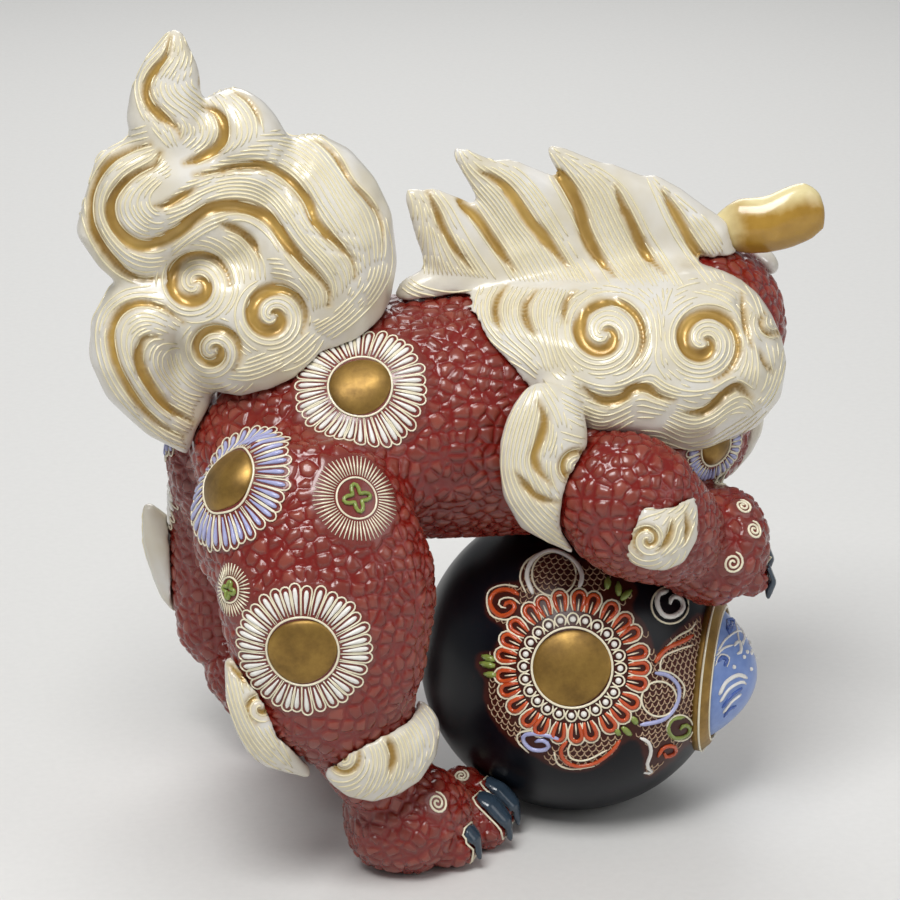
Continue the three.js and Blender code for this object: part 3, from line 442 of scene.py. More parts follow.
level = node(tree, "Math", {0: grit, 1: 0.14, 2: level}, operation="MULTIPLY_ADD")[0]
relief = bumped(tree, level, 0.6, 0.0005)
fired(tree, {"Base Color": skin_tone, "Roughness": rough, "Normal": relief, "Coat Weight": 0.3,
             "Coat Roughness": 0.1})

for side, way in (("right", -1), ("left", 1)):
    shell = bmesh.new()
    shell.from_mesh(hide_mesh)
    whole = shell.verts[:] + shell.edges[:] + shell.faces[:]
    cut = bmesh.ops.bisect_plane(shell, geom=whole, plane_co=ball_centre, plane_no=(0, way, 0),
                                 clear_inner=True)
    seam = [part for part in cut["geom_cut"] if isinstance(part, bmesh.types.BMEdge)]
    bmesh.ops.triangle_fill(shell, edges=seam, use_beauty=True)
    for edge in seam:
        edge.smooth = False
    own_nodes = [name for name in BODY + PAWS if name.endswith(side)]
    if side == "right":
        own_nodes += ["torso"]
    else:
        own_nodes += ["head", "lower_jaw"]
    set_piece("hide_" + side, mesh_of(shell, "hide"), oxblood, "red_glaze", *own_nodes)


# The rosettes: chrysanthemum rounds on hips, thighs, rump and chest, trailed on in thick slip from a
# bag, one cream loop and one fat tongue for each petal, round a low dome of fired gold.
STROKE_STEP = 0.009
SLIP_LIFT = 0.0002


def lay_slip(name, strokes, material, slot, roundness=1):
    """Lays beads of slip: each stroke is its points, its radii in millimetres, and if it closes. One that
    would leap from one form to another isn't laid."""
    curve = bpy.data.curves.new(name, "CURVE")
    curve.dimensions = "3D"
    curve.bevel_depth = 0.001
    curve.bevel_resolution = roundness
    curve.use_fill_caps = True
    for points, radii, closed in strokes:
        if any((b - a).length > STROKE_STEP for a, b in zip(points, points[1:])):
            continue
        spline = curve.splines.new("POLY")
        spline.points.add(len(points) - 1)
        spline.use_cyclic_u = closed
        for spot, point, radius in zip(spline.points, points, radii):
            spot.co = (*point, 1)
            spot.radius = radius
    laid = bpy.data.objects.new(name, curve)
    scene.collection.objects.link(laid)
    mesh = taken(laid)
    beads = bmesh.new()
    beads.from_mesh(mesh)
    bmesh.ops.remove_doubles(beads, verts=beads.verts, dist=1e-6)
    bmesh.ops.recalc_face_normals(beads, faces=beads.faces)
    beads.to_mesh(mesh)
    beads.free()
    return set_piece(name, mesh, material, slot)


def bead(points, radius, ends=0.5, closed=False):
    """A stroke of one thickness that thins at its two ends."""
    last = len(points) - 1
    radii = [radius if closed or 0 < i < last else ends * radius for i in range(last + 1)]
    return points, radii, closed


def ring(disc, radius, thick, count=40, lift=SLIP_LIFT):
    points = [on_disc(disc, radius, 2 * math.pi * i / count, lift) for i in range(count)]
    return bead(points, thick, closed=True)


def petal_loop(disc, angle, inner, outer, wide, thick, lift=SLIP_LIFT):
    """A U of slip: out along one side of a petal, round its end and back."""
    half = 0.5 * wide
    bend = outer - half
    side = ((inner, 0.55), (0.5 * (inner + bend), 0.85))
    arch = [(bend + half * math.sin(turn), math.cos(turn)) for turn in np.linspace(0, math.pi, 7)]
    steps = [*side, *arch, *((r, -s) for r, s in reversed(side))]
    return bead([on_disc(disc, r, angle + s * half / r, lift) for r, s in steps], thick)


def tongue(disc, angle, inner, outer, thin, fat, lift=0.0003):
    """A fat tongue of slip, pulled from a thin tail out to a round end."""
    shares = (0, 0.2, 0.45, 0.7, 0.9, 1)
    radii = (0.5 * thin, thin, 0.5 * (thin + fat), fat, 0.9 * fat, 0.45 * fat)
    points = [on_disc(disc, inner + s * (outer - inner), angle, lift) for s in shares]
    return points, radii, False


def spiral(disc, turns, thick):
    """A spiral of slip from the middle of a disc out to its edge."""
    steps = round(14 * turns)
    points = []
    for i in range(steps + 1):
        share = i / steps
        away = disc["radius"] * (0.1 + 0.85 * share)
        points.append(on_disc(disc, away, 2 * math.pi * turns * share, SLIP_LIFT))
    return bead(points, thick)


def domed(disc, radius, height, uneven=0.0):
    """A low dome of the given radius that follows the skin it lies on."""
    dome = bmesh.new()
    bmesh.ops.create_uvsphere(dome, u_segments=32, v_segments=14, radius=1)
    for vert in dome.verts:
        away = math.hypot(vert.co.x, vert.co.y)
        angle = math.atan2(vert.co.y, vert.co.x)
        reach = radius * (1 + uneven * math.sin(2 * angle + 0.6) + 0.5 * uneven * math.sin(3 * angle))
        lift = height * vert.co.z if vert.co.z > 0 else 0.0008 * vert.co.z
        vert.co = on_disc(disc, away * reach, angle, lift)
    return mesh_of(dome, "dome")


def joined(meshes):
    """Several meshes as one."""
    whole = bmesh.new()
    for mesh in meshes:
        whole.from_mesh(mesh)
    bmesh.ops.recalc_face_normals(whole, faces=whole.faces)
    return mesh_of(whole, "joined")


def skins(labels, *sizes):
    """The named solids, each in a skin of its own, as one mesh."""
    return joined([skin([label], *sizes) for label in labels])


def enamel(name, thin_colour, thick_colour, gloss=0.22):
    """Coloured slip under clear glaze: stronger where thick, glossy, with the waver of a poured line."""
    material, tree = new_material(name)
    place = node(tree, "TexCoord", {})["Object"]
    pool = noise(tree, place, 0.004, 3.0)
    tone = blend(tree, pool, thin_colour, thick_colour)
    rough = between(tree, pool, gloss - 0.06, gloss + 0.08)
    relief = bumped(tree, pool, 0.25, 0.0003)
    fired(tree, {"Base Color": tone, "Roughness": rough, "Normal": relief, "Coat Weight": 0.3,
                 "Coat Roughness": 0.08})
    return material


cream_slip = enamel("cream_slip_under_clear_glaze", "#e6dcbc", "#f4edd6")
white_slip = enamel("white_slip_under_clear_glaze", "#e4e1da", "#f6f4ee")
lavender_slip = enamel("lavender_slip_under_clear_glaze", "#8f93c9", "#c3c5e4")

# Fired liquid gold over glaze, rubbed bright: brownish where thin, with cloudy brush marks and soft lights.
fired_gold, tree = new_material("fired_gold_over_glaze")
place = node(tree, "TexCoord", {})["Object"]
brush = node(tree, "TexNoise", {"Vector": place, "Scale": 1 / 0.012, "Detail": 5.0,
                                "Roughness": 0.65})["Fac"]
mottle = node(tree, "MapRange", {"Value": brush, "From Min": 0.3, "From Max": 0.7})[0]
tone = blend(tree, mottle, "#6f5325", "#a5823f")
rough = between(tree, mottle, 0.5, 0.36)
relief = bumped(tree, brush, 0.3, 0.0006)
fired(tree, {"Base Color": tone, "Metallic": 0.6, "Roughness": rough, "Normal": relief})

PETALS = 34
DOME_HEIGHT = 0.0019
DOME_WAVER = 0.035
SPIRAL_TURNS = 2.2
cream = [spiral(disc, SPIRAL_TURNS, 0.5) for disc in spirals]
white = []
lavender = []
green = []
domes = []
for disc in rosettes:
    outer = disc["radius"]
    if disc["kind"] == "fine":
        cream.append(ring(disc, 0.47 * outer, 0.4))
        rays = round(3600 * outer)
        for i in range(rays):
            angle = 2 * math.pi * i / rays
            reach = outer * (0.97 + 0.02 * math.sin(7 * i))
            ray = [on_disc(disc, r, angle, SLIP_LIFT) for r in (0.53 * outer, 0.75 * outer, reach)]
            cream.append(bead(ray, 0.34))
        knot = []
        for i in range(32):
            angle = 2 * math.pi * i / 32
            knot.append(on_disc(disc, outer * (0.22 + 0.1 * math.cos(4 * angle)), angle, 0.0004))
        green.append(bead(knot, 0.8, closed=True))
        continue
    gold_radius = disc["gold"]
    domes.append(domed(disc, gold_radius, DOME_HEIGHT, DOME_WAVER))
    cream.append(ring(disc, gold_radius + 0.0006, 0.45))
    for i in range(PETALS):
        angle = 2 * math.pi * (i + 0.15 * math.sin(5 * i)) / PETALS
        wide = 0.84 * 2 * math.pi * outer / PETALS
        reach = outer * (0.98 + 0.02 * math.sin(3.7 * i))
        cream.append(petal_loop(disc, angle, gold_radius + 0.0012, reach, wide, 0.33))
        stroke = tongue(disc, angle, gold_radius + 0.002, reach - 0.0016, 0.45, 0.95)
        (white if disc["kind"] == "white" else lavender).append(stroke)
lay_slip("hide_loops_and_spirals", cream, cream_slip, "cream_glaze")
lay_slip("rosette_white_petals", white, white_slip, "white_glaze")
lay_slip("rosette_lavender_petals", lavender, lavender_slip, "white_glaze")
green_slip = enamel("green_slip_under_clear_glaze", "#66762c", "#9aa856")
lay_slip("rosette_knots", green, green_slip, "yellow_glaze")
set_piece("rosette_golds", joined(domes), fired_gold, "gilding")


# The hair: tail plume, mane, crest, flaps and tufts, moulded in cream clay. Broad locks lie between grooves
# that are gilded, and a bag of cream slip lays thin raised lines along each lock and round each curl.
def flowing(points, count):
    """A smooth line through points of the photograph, in even steps."""
    points = [Vector(p) for p in points]
    points = [2 * points[0] - points[1]] + points + [2 * points[-1] - points[-2]]
    line = []
    for a, b, c, d in zip(points, points[1:], points[2:], points[3:]):
        for i in range(8):
            t = i / 8
            line.append(0.5 * (2 * b + (c - a) * t + (2 * a - 5 * b + 4 * c - d) * t * t
                               + (3 * b - a - 3 * c + d) * t * t * t))
    line.append(points[-2])
    walked = np.cumsum([0] + [(b - a).length for a, b in zip(line, line[1:])])
    even = np.linspace(0, walked[-1], count)
    return list(zip(*(np.interp(even, walked, [p[axis] for p in line]) for axis in (0, 1))))


def reach_of(points):
    return sum(math.dist(a, b) for a, b in zip(points, points[1:]))


LINE_STEP = 4.7
POINT_STEP = 5
LINE_CLEARANCE = 3.2
PIXELS_PER_MM = FOCAL_PIXELS / (1000 * EYE_DISTANCE)
LINE_RADIUS = 0.43
LINE_LEAP = 0.007
FAR_REACH = 0.01


def lines_between(edges):
    """The slip lines, in the photograph, that fill the locks between neighbouring edges."""
    for a, b in zip(edges, edges[1:]):
        count = max(5, round(max(reach_of(a), reach_of(b)) / POINT_STEP))
        pairs = list(zip(flowing(a, count), flowing(b, count)))
        lines = max(1, round(max(math.dist(p, q) for p, q in pairs) / LINE_STEP))
        for number in range(lines):
            share = (number + 0.5) / lines
            yield [(p[0] + share * (q[0] - p[0]), p[1] + share * (q[1] - p[1])) for p, q in pairs]


def curl_line(centre, radius, turns, end, way, phase, eye_share=0.08):
    """A line of a curl in the photograph, from its eye out to the angle where it ends."""
    count = max(12, round(2 * math.pi * radius * turns / POINT_STEP))
    line = []
    for i in range(count):
        share = i / (count - 1)
        angle = end + phase - way * 2 * math.pi * turns * (1 - share)
        away = radius * (eye_share + (1 - eye_share) * share)
        line.append((centre[0] + away * math.cos(angle), centre[1] + away * math.sin(angle)))
    return line


def free_runs(lines, gilt):
    """The stretches of lines, in order, that keep off the gilt places and off the lines before them."""
    cell = 8
    held = {}

    def hold(point, radius):
        held.setdefault((point[0] // cell, point[1] // cell), []).append((point, radius))

    def is_free(point):
        column, row = point[0] // cell, point[1] // cell
        near = [held.get((column + i, row + j), ()) for i in (-1, 0, 1) for j in (-1, 0, 1)]
        return all(math.dist(point, other) >= radius for places in near for other, radius in places)

    for point, radius in gilt:
        hold(point, radius)
    for line in lines:
        runs = [[]]
        for point in line:
            if is_free(point):
                runs[-1].append(point)
            elif runs[-1]:
                runs.append([])
        for run in runs:
            if len(run) > 2:
                for a, b in zip(run, run[1:]):
                    hold(a, LINE_CLEARANCE)
                    hold(((a[0] + b[0]) / 2, (a[1] + b[1]) / 2), LINE_CLEARANCE)
                yield run


def on_sides(tree, line, step):
    """Where a line of the photograph lies on a skin, and the like places on its other side."""
    near = [tree.ray_cast(eye, sight(*p))[0] for p in line]
    far = []
    for point in near:
        found = tree.find_nearest(other_side(point, step)) if point else None
        far.append(found[0] if found and found[3] < FAR_REACH else None)
    return near, far


RINGS = 5


def hair(name, nodes, mesh, depth, grooves, locks, curls, step=Vector()):
    """Cuts the gilded grooves of a hair piece and lays its slip lines, on both of its sides."""
    tree = tree_of(mesh)
    gilt = []
    marks = []
    curled = [(width, curl_line(*curl, 0.0)) for width, *curl in curls]
    cut = [(width, flowing(p, round(reach_of(p) / 4) + 2)) for width, p in grooves]
    for width, line in cut + curled:
        for number, (pixel, *spots) in enumerate(zip(line, *on_sides(tree, line, step))):
            share = number / (len(line) - 1)
            half = width * min(1, 3 * share + 0.2, 3 * (1 - share) + 0.2)
            gilt.append((pixel, 0.95 * half * PIXELS_PER_MM))
            marks += [(spot, half) for spot in spots if spot]
    groove_points = KDTree(len(marks))
    for number, (point, half) in enumerate(marks):
        groove_points.insert(point, number)
    groove_points.balance()
    gilded = []
    sunk = []
    for vertex in mesh.vertices:
        number, away = groove_points.find(vertex.co)[1:]
        half = marks[number][1]
        gilded.append(half - 1000 * away)
        facing = float(smooth_step(0.1, 0.5, abs(vertex.normal.y)))
        wall = 1 - float(smooth_step(0.4 * half, 1.4 * half + 0.5, 1000 * away))
        sunk.append(vertex.co - 0.001 * depth * facing * min(1, half) * wall * vertex.normal)
    for vertex, point in zip(mesh.vertices, sunk):
        vertex.co = point
    note(mesh, "gilded", gilded)
    mesh.update()
    set_piece(name, mesh, combed_cream, "cream_glaze", *nodes)

    tree = tree_of(mesh)
    lines = []
    for width, centre, radius, turns, end, way in curls:
        count = max(4, round(0.92 * radius / turns / LINE_STEP))
        turned_by = [2 * math.pi * k / count for k in range(1, count)]
        lines += [curl_line(centre, radius, turns, end, way, phase) for phase in turned_by]
    for edges in locks:
        lines += lines_between(edges)
    for ring_number in range(1, RINGS + 1):
        for curl in curls:
            centre, radius = curl[1:3]
            lines.append(curl_line(centre, radius + LINE_STEP * ring_number, 1.0, 0.0, 1, 0.0, 0.97))
    strokes = []
    for line in free_runs(lines, gilt):
        for spots in on_sides(tree, line, step):
            run = []
            for spot in spots + [None]:
                if spot and not (run and (spot - run[-1]).length > LINE_LEAP):
                    run.append(spot)
                    continue
                if len(run) > 2:
                    strokes.append(bead(run, LINE_RADIUS, 0.4))
                run = [spot] if spot else []
    lay_slip(name + "_lines", strokes, ivory_slip, "cream_glaze", 0)


ivory_slip = enamel("ivory_slip_under_clear_glaze", "#e2d6ac", "#f3eacb")

# Cream clay under clear glaze: ivory with a cooler bloom, tinted tan beside the grooves as painted shade of
# the recesses and brown glaze pooled there, and liquid gold brushed into the grooves, where it thins out at
# the edges; wet gloss.
combed_cream, tree = new_material("cream_glazed_clay_with_gilt_grooves")
gilded = noted(tree, "gilded")
place = node(tree, "TexCoord", {})["Object"]
cloud = noise(tree, place, 0.02, 3.0)
cloud = node(tree, "MapRange", {"Value": cloud, "From Min": 0.3, "From Max": 0.7})[0]
cream_tone = blend(tree, cloud, "#d3cab3", "#dfdcd6")
# The cream turns tan just outside the gilt grooves: painted shade of the recesses, with the brown of glaze
# pooled in them.
groove_shade_and_stain = node(tree, "MapRange", {"Value": gilded, "From Min": -2.2, "From Max": 0.2, "To Max": 0.6})[0]
cream_tone = blend(tree, groove_shade_and_stain, cream_tone, "#c2a76a")
waver = noise(tree, place, 0.003, 2.0)
brushed = node(tree, "Math", {0: waver, 1: 0.8, 2: gilded}, operation="MULTIPLY_ADD")[0]
gold_share = node(tree, "MapRange", {"Value": brushed, "From Min": -0.3, "From Max": 1.3},
                  interpolation_type="SMOOTHSTEP")[0]
gold_tone = blend(tree, cloud, "#94702f", "#c9a557")
tone = blend(tree, gold_share, cream_tone, gold_tone)
rough = between(tree, gold_share, 0.26, 0.38)
metal = node(tree, "Math", {0: gold_share, 1: 0.35}, operation="MULTIPLY")[0]
relief = bumped(tree, waver, 0.25, 0.0003)
fired(tree, {"Base Color": tone, "Metallic": metal, "Roughness": rough, "Normal": relief,
             "Coat Weight": 0.3, "Coat Roughness": 0.08})

HAIR_VOXEL = 0.00095

tip_gold = ((170, 38), (164, 57), (153, 71), (146, 84), (146, 96), (152, 107), (163, 117), (176, 127),
            (181, 137))
bend_gold = ((203, 106), (215, 112), (223, 124), (223, 138), (214, 150), (200, 158), (185, 163))
brow_gold = ((195, 175), (217, 171), (239, 167), (262, 166), (282, 174), (297, 188), (308, 203), (315, 220),
             (327, 234), (341, 247), (352, 261), (355, 277))
roll_gold = ((150, 144), (129, 150), (110, 161), (96, 180), (90, 200), (91, 223), (100, 243), (112, 260),
             (126, 274), (143, 279), (164, 277))
sweep_gold = ((160, 153), (155, 164), (135, 174), (121, 186), (111, 201), (111, 220), (122, 236),
              (138, 246), (157, 244), (177, 233), (194, 219), (211, 209), (234, 206), (253, 210),
              (270, 220), (284, 240), (301, 260), (318, 277), (328, 291), (328, 305))
hook_gold = ((183, 322), (163, 308), (140, 303), (122, 310), (112, 325), (111, 342), (116, 364), (129, 389),
             (143, 409), (160, 425), (183, 437))
inner_hook_gold = ((157, 337), (145, 339), (139, 353), (142, 370), (152, 388), (166, 406), (194, 423))
hair(
    "tail", ("tail_plume", "tail_lower_lobe"),
    skin(["tail_plume", "tail_lower_lobe"], 0.0014, 16, HAIR_VOXEL, 3, (), 20), 2.0,
    (
        (1.6, tip_gold), (1.9, bend_gold), (1.6, brow_gold), (1.5, roll_gold), (2.3, sweep_gold),
        (1.5, hook_gold), (1.8, inner_hook_gold),
        (0.9, ((190, 36), (199, 48), (202, 60), (200, 73), (199, 83))),
        (0.7, ((232, 91), (246, 98), (255, 109), (260, 122))),
        (0.9, ((314, 140), (330, 150), (342, 165), (352, 182), (366, 197), (377, 212), (383, 230),
               (382, 250))),
        (1.4, ((155, 206), (166, 206), (180, 198), (195, 188))),
        (1.3, ((220, 223), (236, 230), (250, 241), (259, 257))),
    ),
    (
        (((170, 32), (158, 47), (141, 65), (134, 85), (136, 105), (142, 120)), tip_gold[:-1],
         ((175, 36), (176, 55), (165, 72), (159, 87), (164, 101), (178, 112), (190, 122), (193, 135),
          (183, 146)),
         ((181, 36), (184, 51), (180, 66), (173, 81), (176, 93), (190, 103), (203, 112), (211, 126),
          (208, 140), (195, 152)),
         ((187, 37), (194, 55), (192, 72), (190, 85), (203, 95), (216, 107), (223, 122), (223, 138),
          (212, 152), (196, 161)),
         ((193, 38), (202, 56), (203, 74), (203, 86), (220, 95), (231, 110), (234, 130), (230, 148),
          (216, 157), (196, 166))),
        (((203, 87), (224, 87), (244, 94), (257, 107), (263, 122), (266, 132)),
         ((204, 89), (224, 95), (238, 107), (247, 121), (249, 134), (243, 146)),
         ((206, 90), (221, 100), (231, 114), (235, 131), (230, 148), (217, 158))),
        (((272, 131), (295, 128), (318, 134), (340, 151), (356, 179), (375, 199), (386, 223), (388, 245),
          (386, 260)),
         ((262, 134), (290, 134), (315, 145), (333, 165), (350, 190), (366, 212), (374, 238), (376, 262)),
         ((245, 146), (275, 145), (302, 155), (322, 176), (338, 202), (352, 226), (363, 250), (366, 268)),
         ((225, 158), (252, 155), (282, 161), (306, 180), (322, 205), (338, 228), (352, 250), (360, 275)),
         brow_gold,
         ((158, 206), (176, 198), (198, 187), (225, 178), (250, 177), (272, 186), (288, 202), (300, 222),
          (315, 242), (332, 260), (342, 278), (344, 292)),
         ((165, 212), (185, 206), (207, 194), (230, 188), (255, 190), (273, 202), (288, 222), (303, 243),
          (320, 261), (333, 280), (336, 298)),
         ((170, 237), (194, 219), (211, 209), (234, 206), (253, 210), (270, 220), (284, 240), (301, 260),
          (318, 277), (328, 291), (328, 305)),
         ((172, 258), (190, 244), (210, 232), (232, 222), (250, 224), (268, 238), (280, 256), (295, 276),
          (308, 294), (312, 312))),
        (((146, 124), (118, 134), (97, 152), (83, 180), (80, 205), (85, 230), (98, 255), (113, 272),
          (132, 284)),
         roll_gold,
         ((155, 150), (135, 160), (115, 174), (103, 193), (101, 213), (110, 234), (127, 252), (148, 260),
          (168, 258)),
         sweep_gold[:10],
         ((168, 163), (150, 176), (135, 190), (128, 205), (133, 219), (147, 229), (163, 229), (180, 219),
          (198, 206)),
         ((172, 170), (158, 180), (146, 192), (143, 204), (149, 214), (160, 219), (174, 213), (190, 204)),
         ((170, 178), (160, 186), (152, 196), (152, 205), (159, 211), (168, 208))),
        (((146, 124), (156, 136), (168, 148)), ((163, 117), (170, 132), (176, 146)),
         ((176, 127), (180, 138), (183, 148))),
        (((226, 226), (244, 233), (258, 248), (266, 262), (268, 280)),
         ((222, 238), (236, 246), (246, 260), (248, 280))),
        (((150, 284), (122, 290), (102, 308), (95, 332), (99, 362), (113, 392), (136, 418), (165, 440),
          (188, 450)),
         hook_gold,
         ((178, 330), (158, 318), (140, 315), (126, 325), (123, 345), (130, 368), (143, 390), (158, 408),
          (180, 424), (192, 430)),
         inner_hook_gold,
         ((176, 343), (160, 343), (152, 352), (152, 366), (161, 383), (174, 397), (195, 408)),
         ((186, 350), (174, 350), (165, 358), (166, 370), (175, 382), (190, 392), (205, 395))),
        (((226, 380), (250, 382), (276, 372), (300, 356), (322, 336)),
         ((240, 362), (262, 352), (288, 345), (306, 330))),
        (((386, 215), (393, 245), (392, 272), (380, 296), (358, 320), (332, 340)),
         ((376, 262), (370, 282), (356, 300), (338, 318), (316, 332)),
         ((346, 292), (340, 304), (328, 314), (312, 322))),
    ),
    (
        (2.1, (195, 284), 35, 1.3, 0.0, 1),
        (2.1, (273, 316), 34, 1.35, 0.5, 1),
        (1.8, (213, 351), 29, 1.4, 0.75, 1),
    ),
)

mane_nodes = ("mane_right", "mane_left", "mane_crest", "mane_flap_right", "mane_flap_left")
mane_parts = (mane_nodes[:4], mane_nodes[4:])
mane_mesh = joined([skin(part, 0.0014, 5, HAIR_VOXEL, 3, (), 40) for part in mane_parts])
hair(
    "mane", mane_nodes, mane_mesh, 1.8,
    (
        (1.2, ((506, 286), (497, 299), (495, 314), (500, 329))),
        (1.2, ((536, 291), (526, 304), (526, 319), (534, 334))),
        (0.9, ((575, 292), (567, 299), (564, 312), (566, 322))),
        (1.7, ((584, 388), (594, 397), (605, 402), (620, 400), (632, 390), (645, 388), (658, 396),
               (673, 400))),
        (1.7, ((684, 413), (701, 413), (714, 405), (725, 394), (738, 387), (751, 398))),
        (0.9, ((742, 293), (744, 312), (746, 327), (752, 346))),
        (0.9, ((760, 352), (766, 364), (773, 372))),
        (1.4, ((428, 192), (435, 206), (443, 228), (454, 248), (473, 270))),
        (2.0, ((451, 184), (462, 202), (477, 217), (488, 232), (501, 252), (514, 270))),
        (2.3, ((480, 172), (497, 180), (510, 192), (521, 208), (532, 224), (547, 241), (567, 265))),
        (2.6, ((549, 156), (556, 170), (569, 188), (580, 211), (586, 232), (597, 254), (614, 276))),
        (1.8, ((616, 187), (622, 204), (632, 224), (641, 245), (652, 261), (665, 273))),
        (1.8, ((662, 191), (673, 208), (684, 228), (695, 248), (713, 267))),
        (1.6, ((538, 402), (544, 415), (544, 428), (539, 443), (534, 456), (539, 471), (551, 484))),
        (1.3, ((516, 473), (527, 488), (540, 499), (559, 503))),
    ),
    (
        (((478, 286), (474, 300), (473, 318), (482, 340), (500, 357), (525, 372), (536, 380)),
         ((490, 286), (483, 302), (486, 322), (500, 340), (520, 355), (538, 373)),
         ((506, 286), (497, 299), (495, 314), (503, 333), (520, 350), (540, 367)),
         ((520, 287), (511, 303), (511, 320), (520, 338), (535, 352), (544, 370)),
         ((536, 288), (526, 304), (526, 319), (534, 334), (543, 350), (549, 372)),
         ((553, 288), (546, 305), (545, 325), (550, 345), (556, 366)),
         ((568, 290), (560, 308), (556, 330), (560, 350), (572, 374)),
         ((590, 290), (570, 302), (560, 325), (563, 350), (580, 372), (604, 379), (632, 372), (648, 352))),
        (((590, 288), (612, 290), (636, 296), (652, 312), (656, 336), (654, 360), (664, 380)),
         ((640, 288), (652, 298), (660, 316), (662, 340), (666, 362), (678, 380), (700, 386), (722, 382)),
         ((675, 288), (668, 302), (664, 322), (666, 346), (676, 366), (692, 378))),
        (((690, 292), (712, 297), (732, 308), (742, 330), (745, 355), (738, 375)),
         ((712, 288), (735, 296), (748, 318), (756, 345), (760, 370), (758, 390))),
        (((738, 280), (752, 300), (760, 325), (765, 350), (772, 375)),
         ((752, 272), (762, 292), (768, 310), (780, 345), (778, 368)),
         ((766, 275), (776, 290), (784, 310), (786, 335))),
        (((572, 374), (594, 383), (618, 384), (640, 376), (654, 374), (668, 383), (690, 390), (712, 388),
          (730, 378), (745, 376), (760, 386)),
         ((570, 384), (590, 395), (606, 401), (622, 397), (635, 388), (648, 387), (660, 395), (678, 400),
          (698, 398), (716, 390), (734, 382), (752, 392))),
        (((562, 384), (586, 395), (605, 402), (620, 400), (632, 390), (645, 388), (658, 396), (673, 402)),
         ((560, 396), (584, 408), (605, 414), (622, 409), (640, 401), (655, 404), (668, 408)),
         ((564, 410), (585, 420), (603, 424), (620, 418), (637, 410), (652, 412), (664, 414)),
         ((570, 424), (588, 434), (602, 437), (618, 431), (634, 422), (650, 420))),
        (((676, 402), (696, 406), (712, 398), (726, 386), (740, 381), (755, 392)),
         ((676, 410), (698, 415), (714, 407), (727, 396), (740, 390), (754, 402)),
         ((668, 418), (690, 426), (712, 421), (730, 408), (747, 402), (756, 412)),
         ((662, 428), (685, 438), (706, 435), (722, 424), (738, 414))),
        (((640, 428), (660, 430), (685, 441), (708, 438), (726, 427), (744, 416), (758, 406)),
         ((640, 447), (662, 448), (688, 454), (712, 450), (734, 440), (752, 428), (768, 412))),
        (((560, 430), (584, 437), (604, 440), (622, 436), (640, 427)),
         ((564, 444), (588, 450), (606, 452), (624, 450), (642, 444))),
        (((544, 378), (556, 392), (566, 412), (570, 432)),
         ((536, 384), (544, 400), (554, 420), (558, 440))),
        (((770, 262), (784, 285), (790, 312), (789, 345), (783, 375), (772, 400), (752, 424)),
         ((752, 300), (764, 330), (768, 352), (766, 378), (758, 395), (740, 408))),
        (((396, 262), (420, 283), (450, 291), (478, 288)),
         ((392, 280), (410, 296), (440, 300), (472, 298))),
        (((406, 186), (412, 203), (412, 222), (407, 240), (396, 256), (390, 266)),
         ((411, 185), (420, 203), (424, 228), (424, 250), (422, 274)),
         ((418, 185), (430, 206), (438, 228), (448, 250), (464, 276)),
         ((430, 185), (446, 206), (458, 228), (472, 252), (490, 279)),
         ((440, 187), (456, 208), (470, 232), (485, 255), (502, 280))),
        (((452, 150), (450, 170), (453, 190), (463, 212), (479, 236), (498, 262), (509, 280)),
         ((455, 147), (460, 168), (472, 190), (490, 213), (508, 240), (525, 268), (532, 282)),
         ((459, 147), (477, 167), (497, 180), (510, 192), (521, 208), (532, 224), (547, 241), (570, 280)),
         ((464, 147), (492, 162), (515, 176), (532, 195), (548, 218), (563, 242), (580, 270), (588, 283)),
         ((472, 148), (502, 160), (524, 172), (545, 196), (562, 224), (582, 256), (600, 284))),
        (((540, 152), (545, 172), (556, 194), (570, 218), (584, 244), (600, 270), (608, 284)),
         ((545, 147), (556, 170), (569, 188), (580, 211), (586, 232), (600, 258), (622, 285)),
         ((549, 146), (570, 168), (588, 192), (600, 217), (612, 242), (628, 268), (642, 286)),
         ((556, 149), (592, 170), (610, 186), (620, 204), (630, 224), (641, 245), (664, 286)),
         ((566, 154), (600, 168), (624, 186), (640, 210), (652, 234), (668, 258), (686, 286))),
        (((646, 178), (653, 196), (661, 216), (673, 239), (689, 263), (706, 286)),
         ((650, 176), (668, 201), (682, 227), (695, 248), (720, 280)),
         ((655, 178), (676, 199), (692, 217), (708, 239), (722, 263), (728, 280)),
         ((662, 184), (688, 203), (704, 216), (718, 234), (728, 254))),
        (((530, 384), (513, 408), (502, 440), (500, 472), (508, 502), (526, 526), (548, 544), (574, 556)),
         ((536, 386), (530, 412), (522, 440), (518, 466), (527, 490), (542, 512), (560, 528), (577, 540)),
         ((541, 388), (541, 415), (536, 440), (531, 460), (538, 482), (552, 502), (566, 514), (576, 526)),
         ((548, 388), (556, 412), (558, 436), (550, 462), (552, 484), (562, 500), (574, 510)),
         ((556, 392), (568, 416), (576, 436), (590, 446))),
        (((598, 452), (600, 470), (592, 484), (576, 494), (566, 506)),
         ((590, 446), (596, 462), (592, 478), (578, 488))),
    ),
    (
        (2.1, (604, 333), 43, 1.35, 0.9, 1),
        (2.1, (704, 341), 40, 1.35, 1.29, 1),
        (1.2, (776, 324), 18, 0.9, -1.75, 1),
        (1.4, (576, 469), 21, 1.3, 0.3, 1),
    ),
)

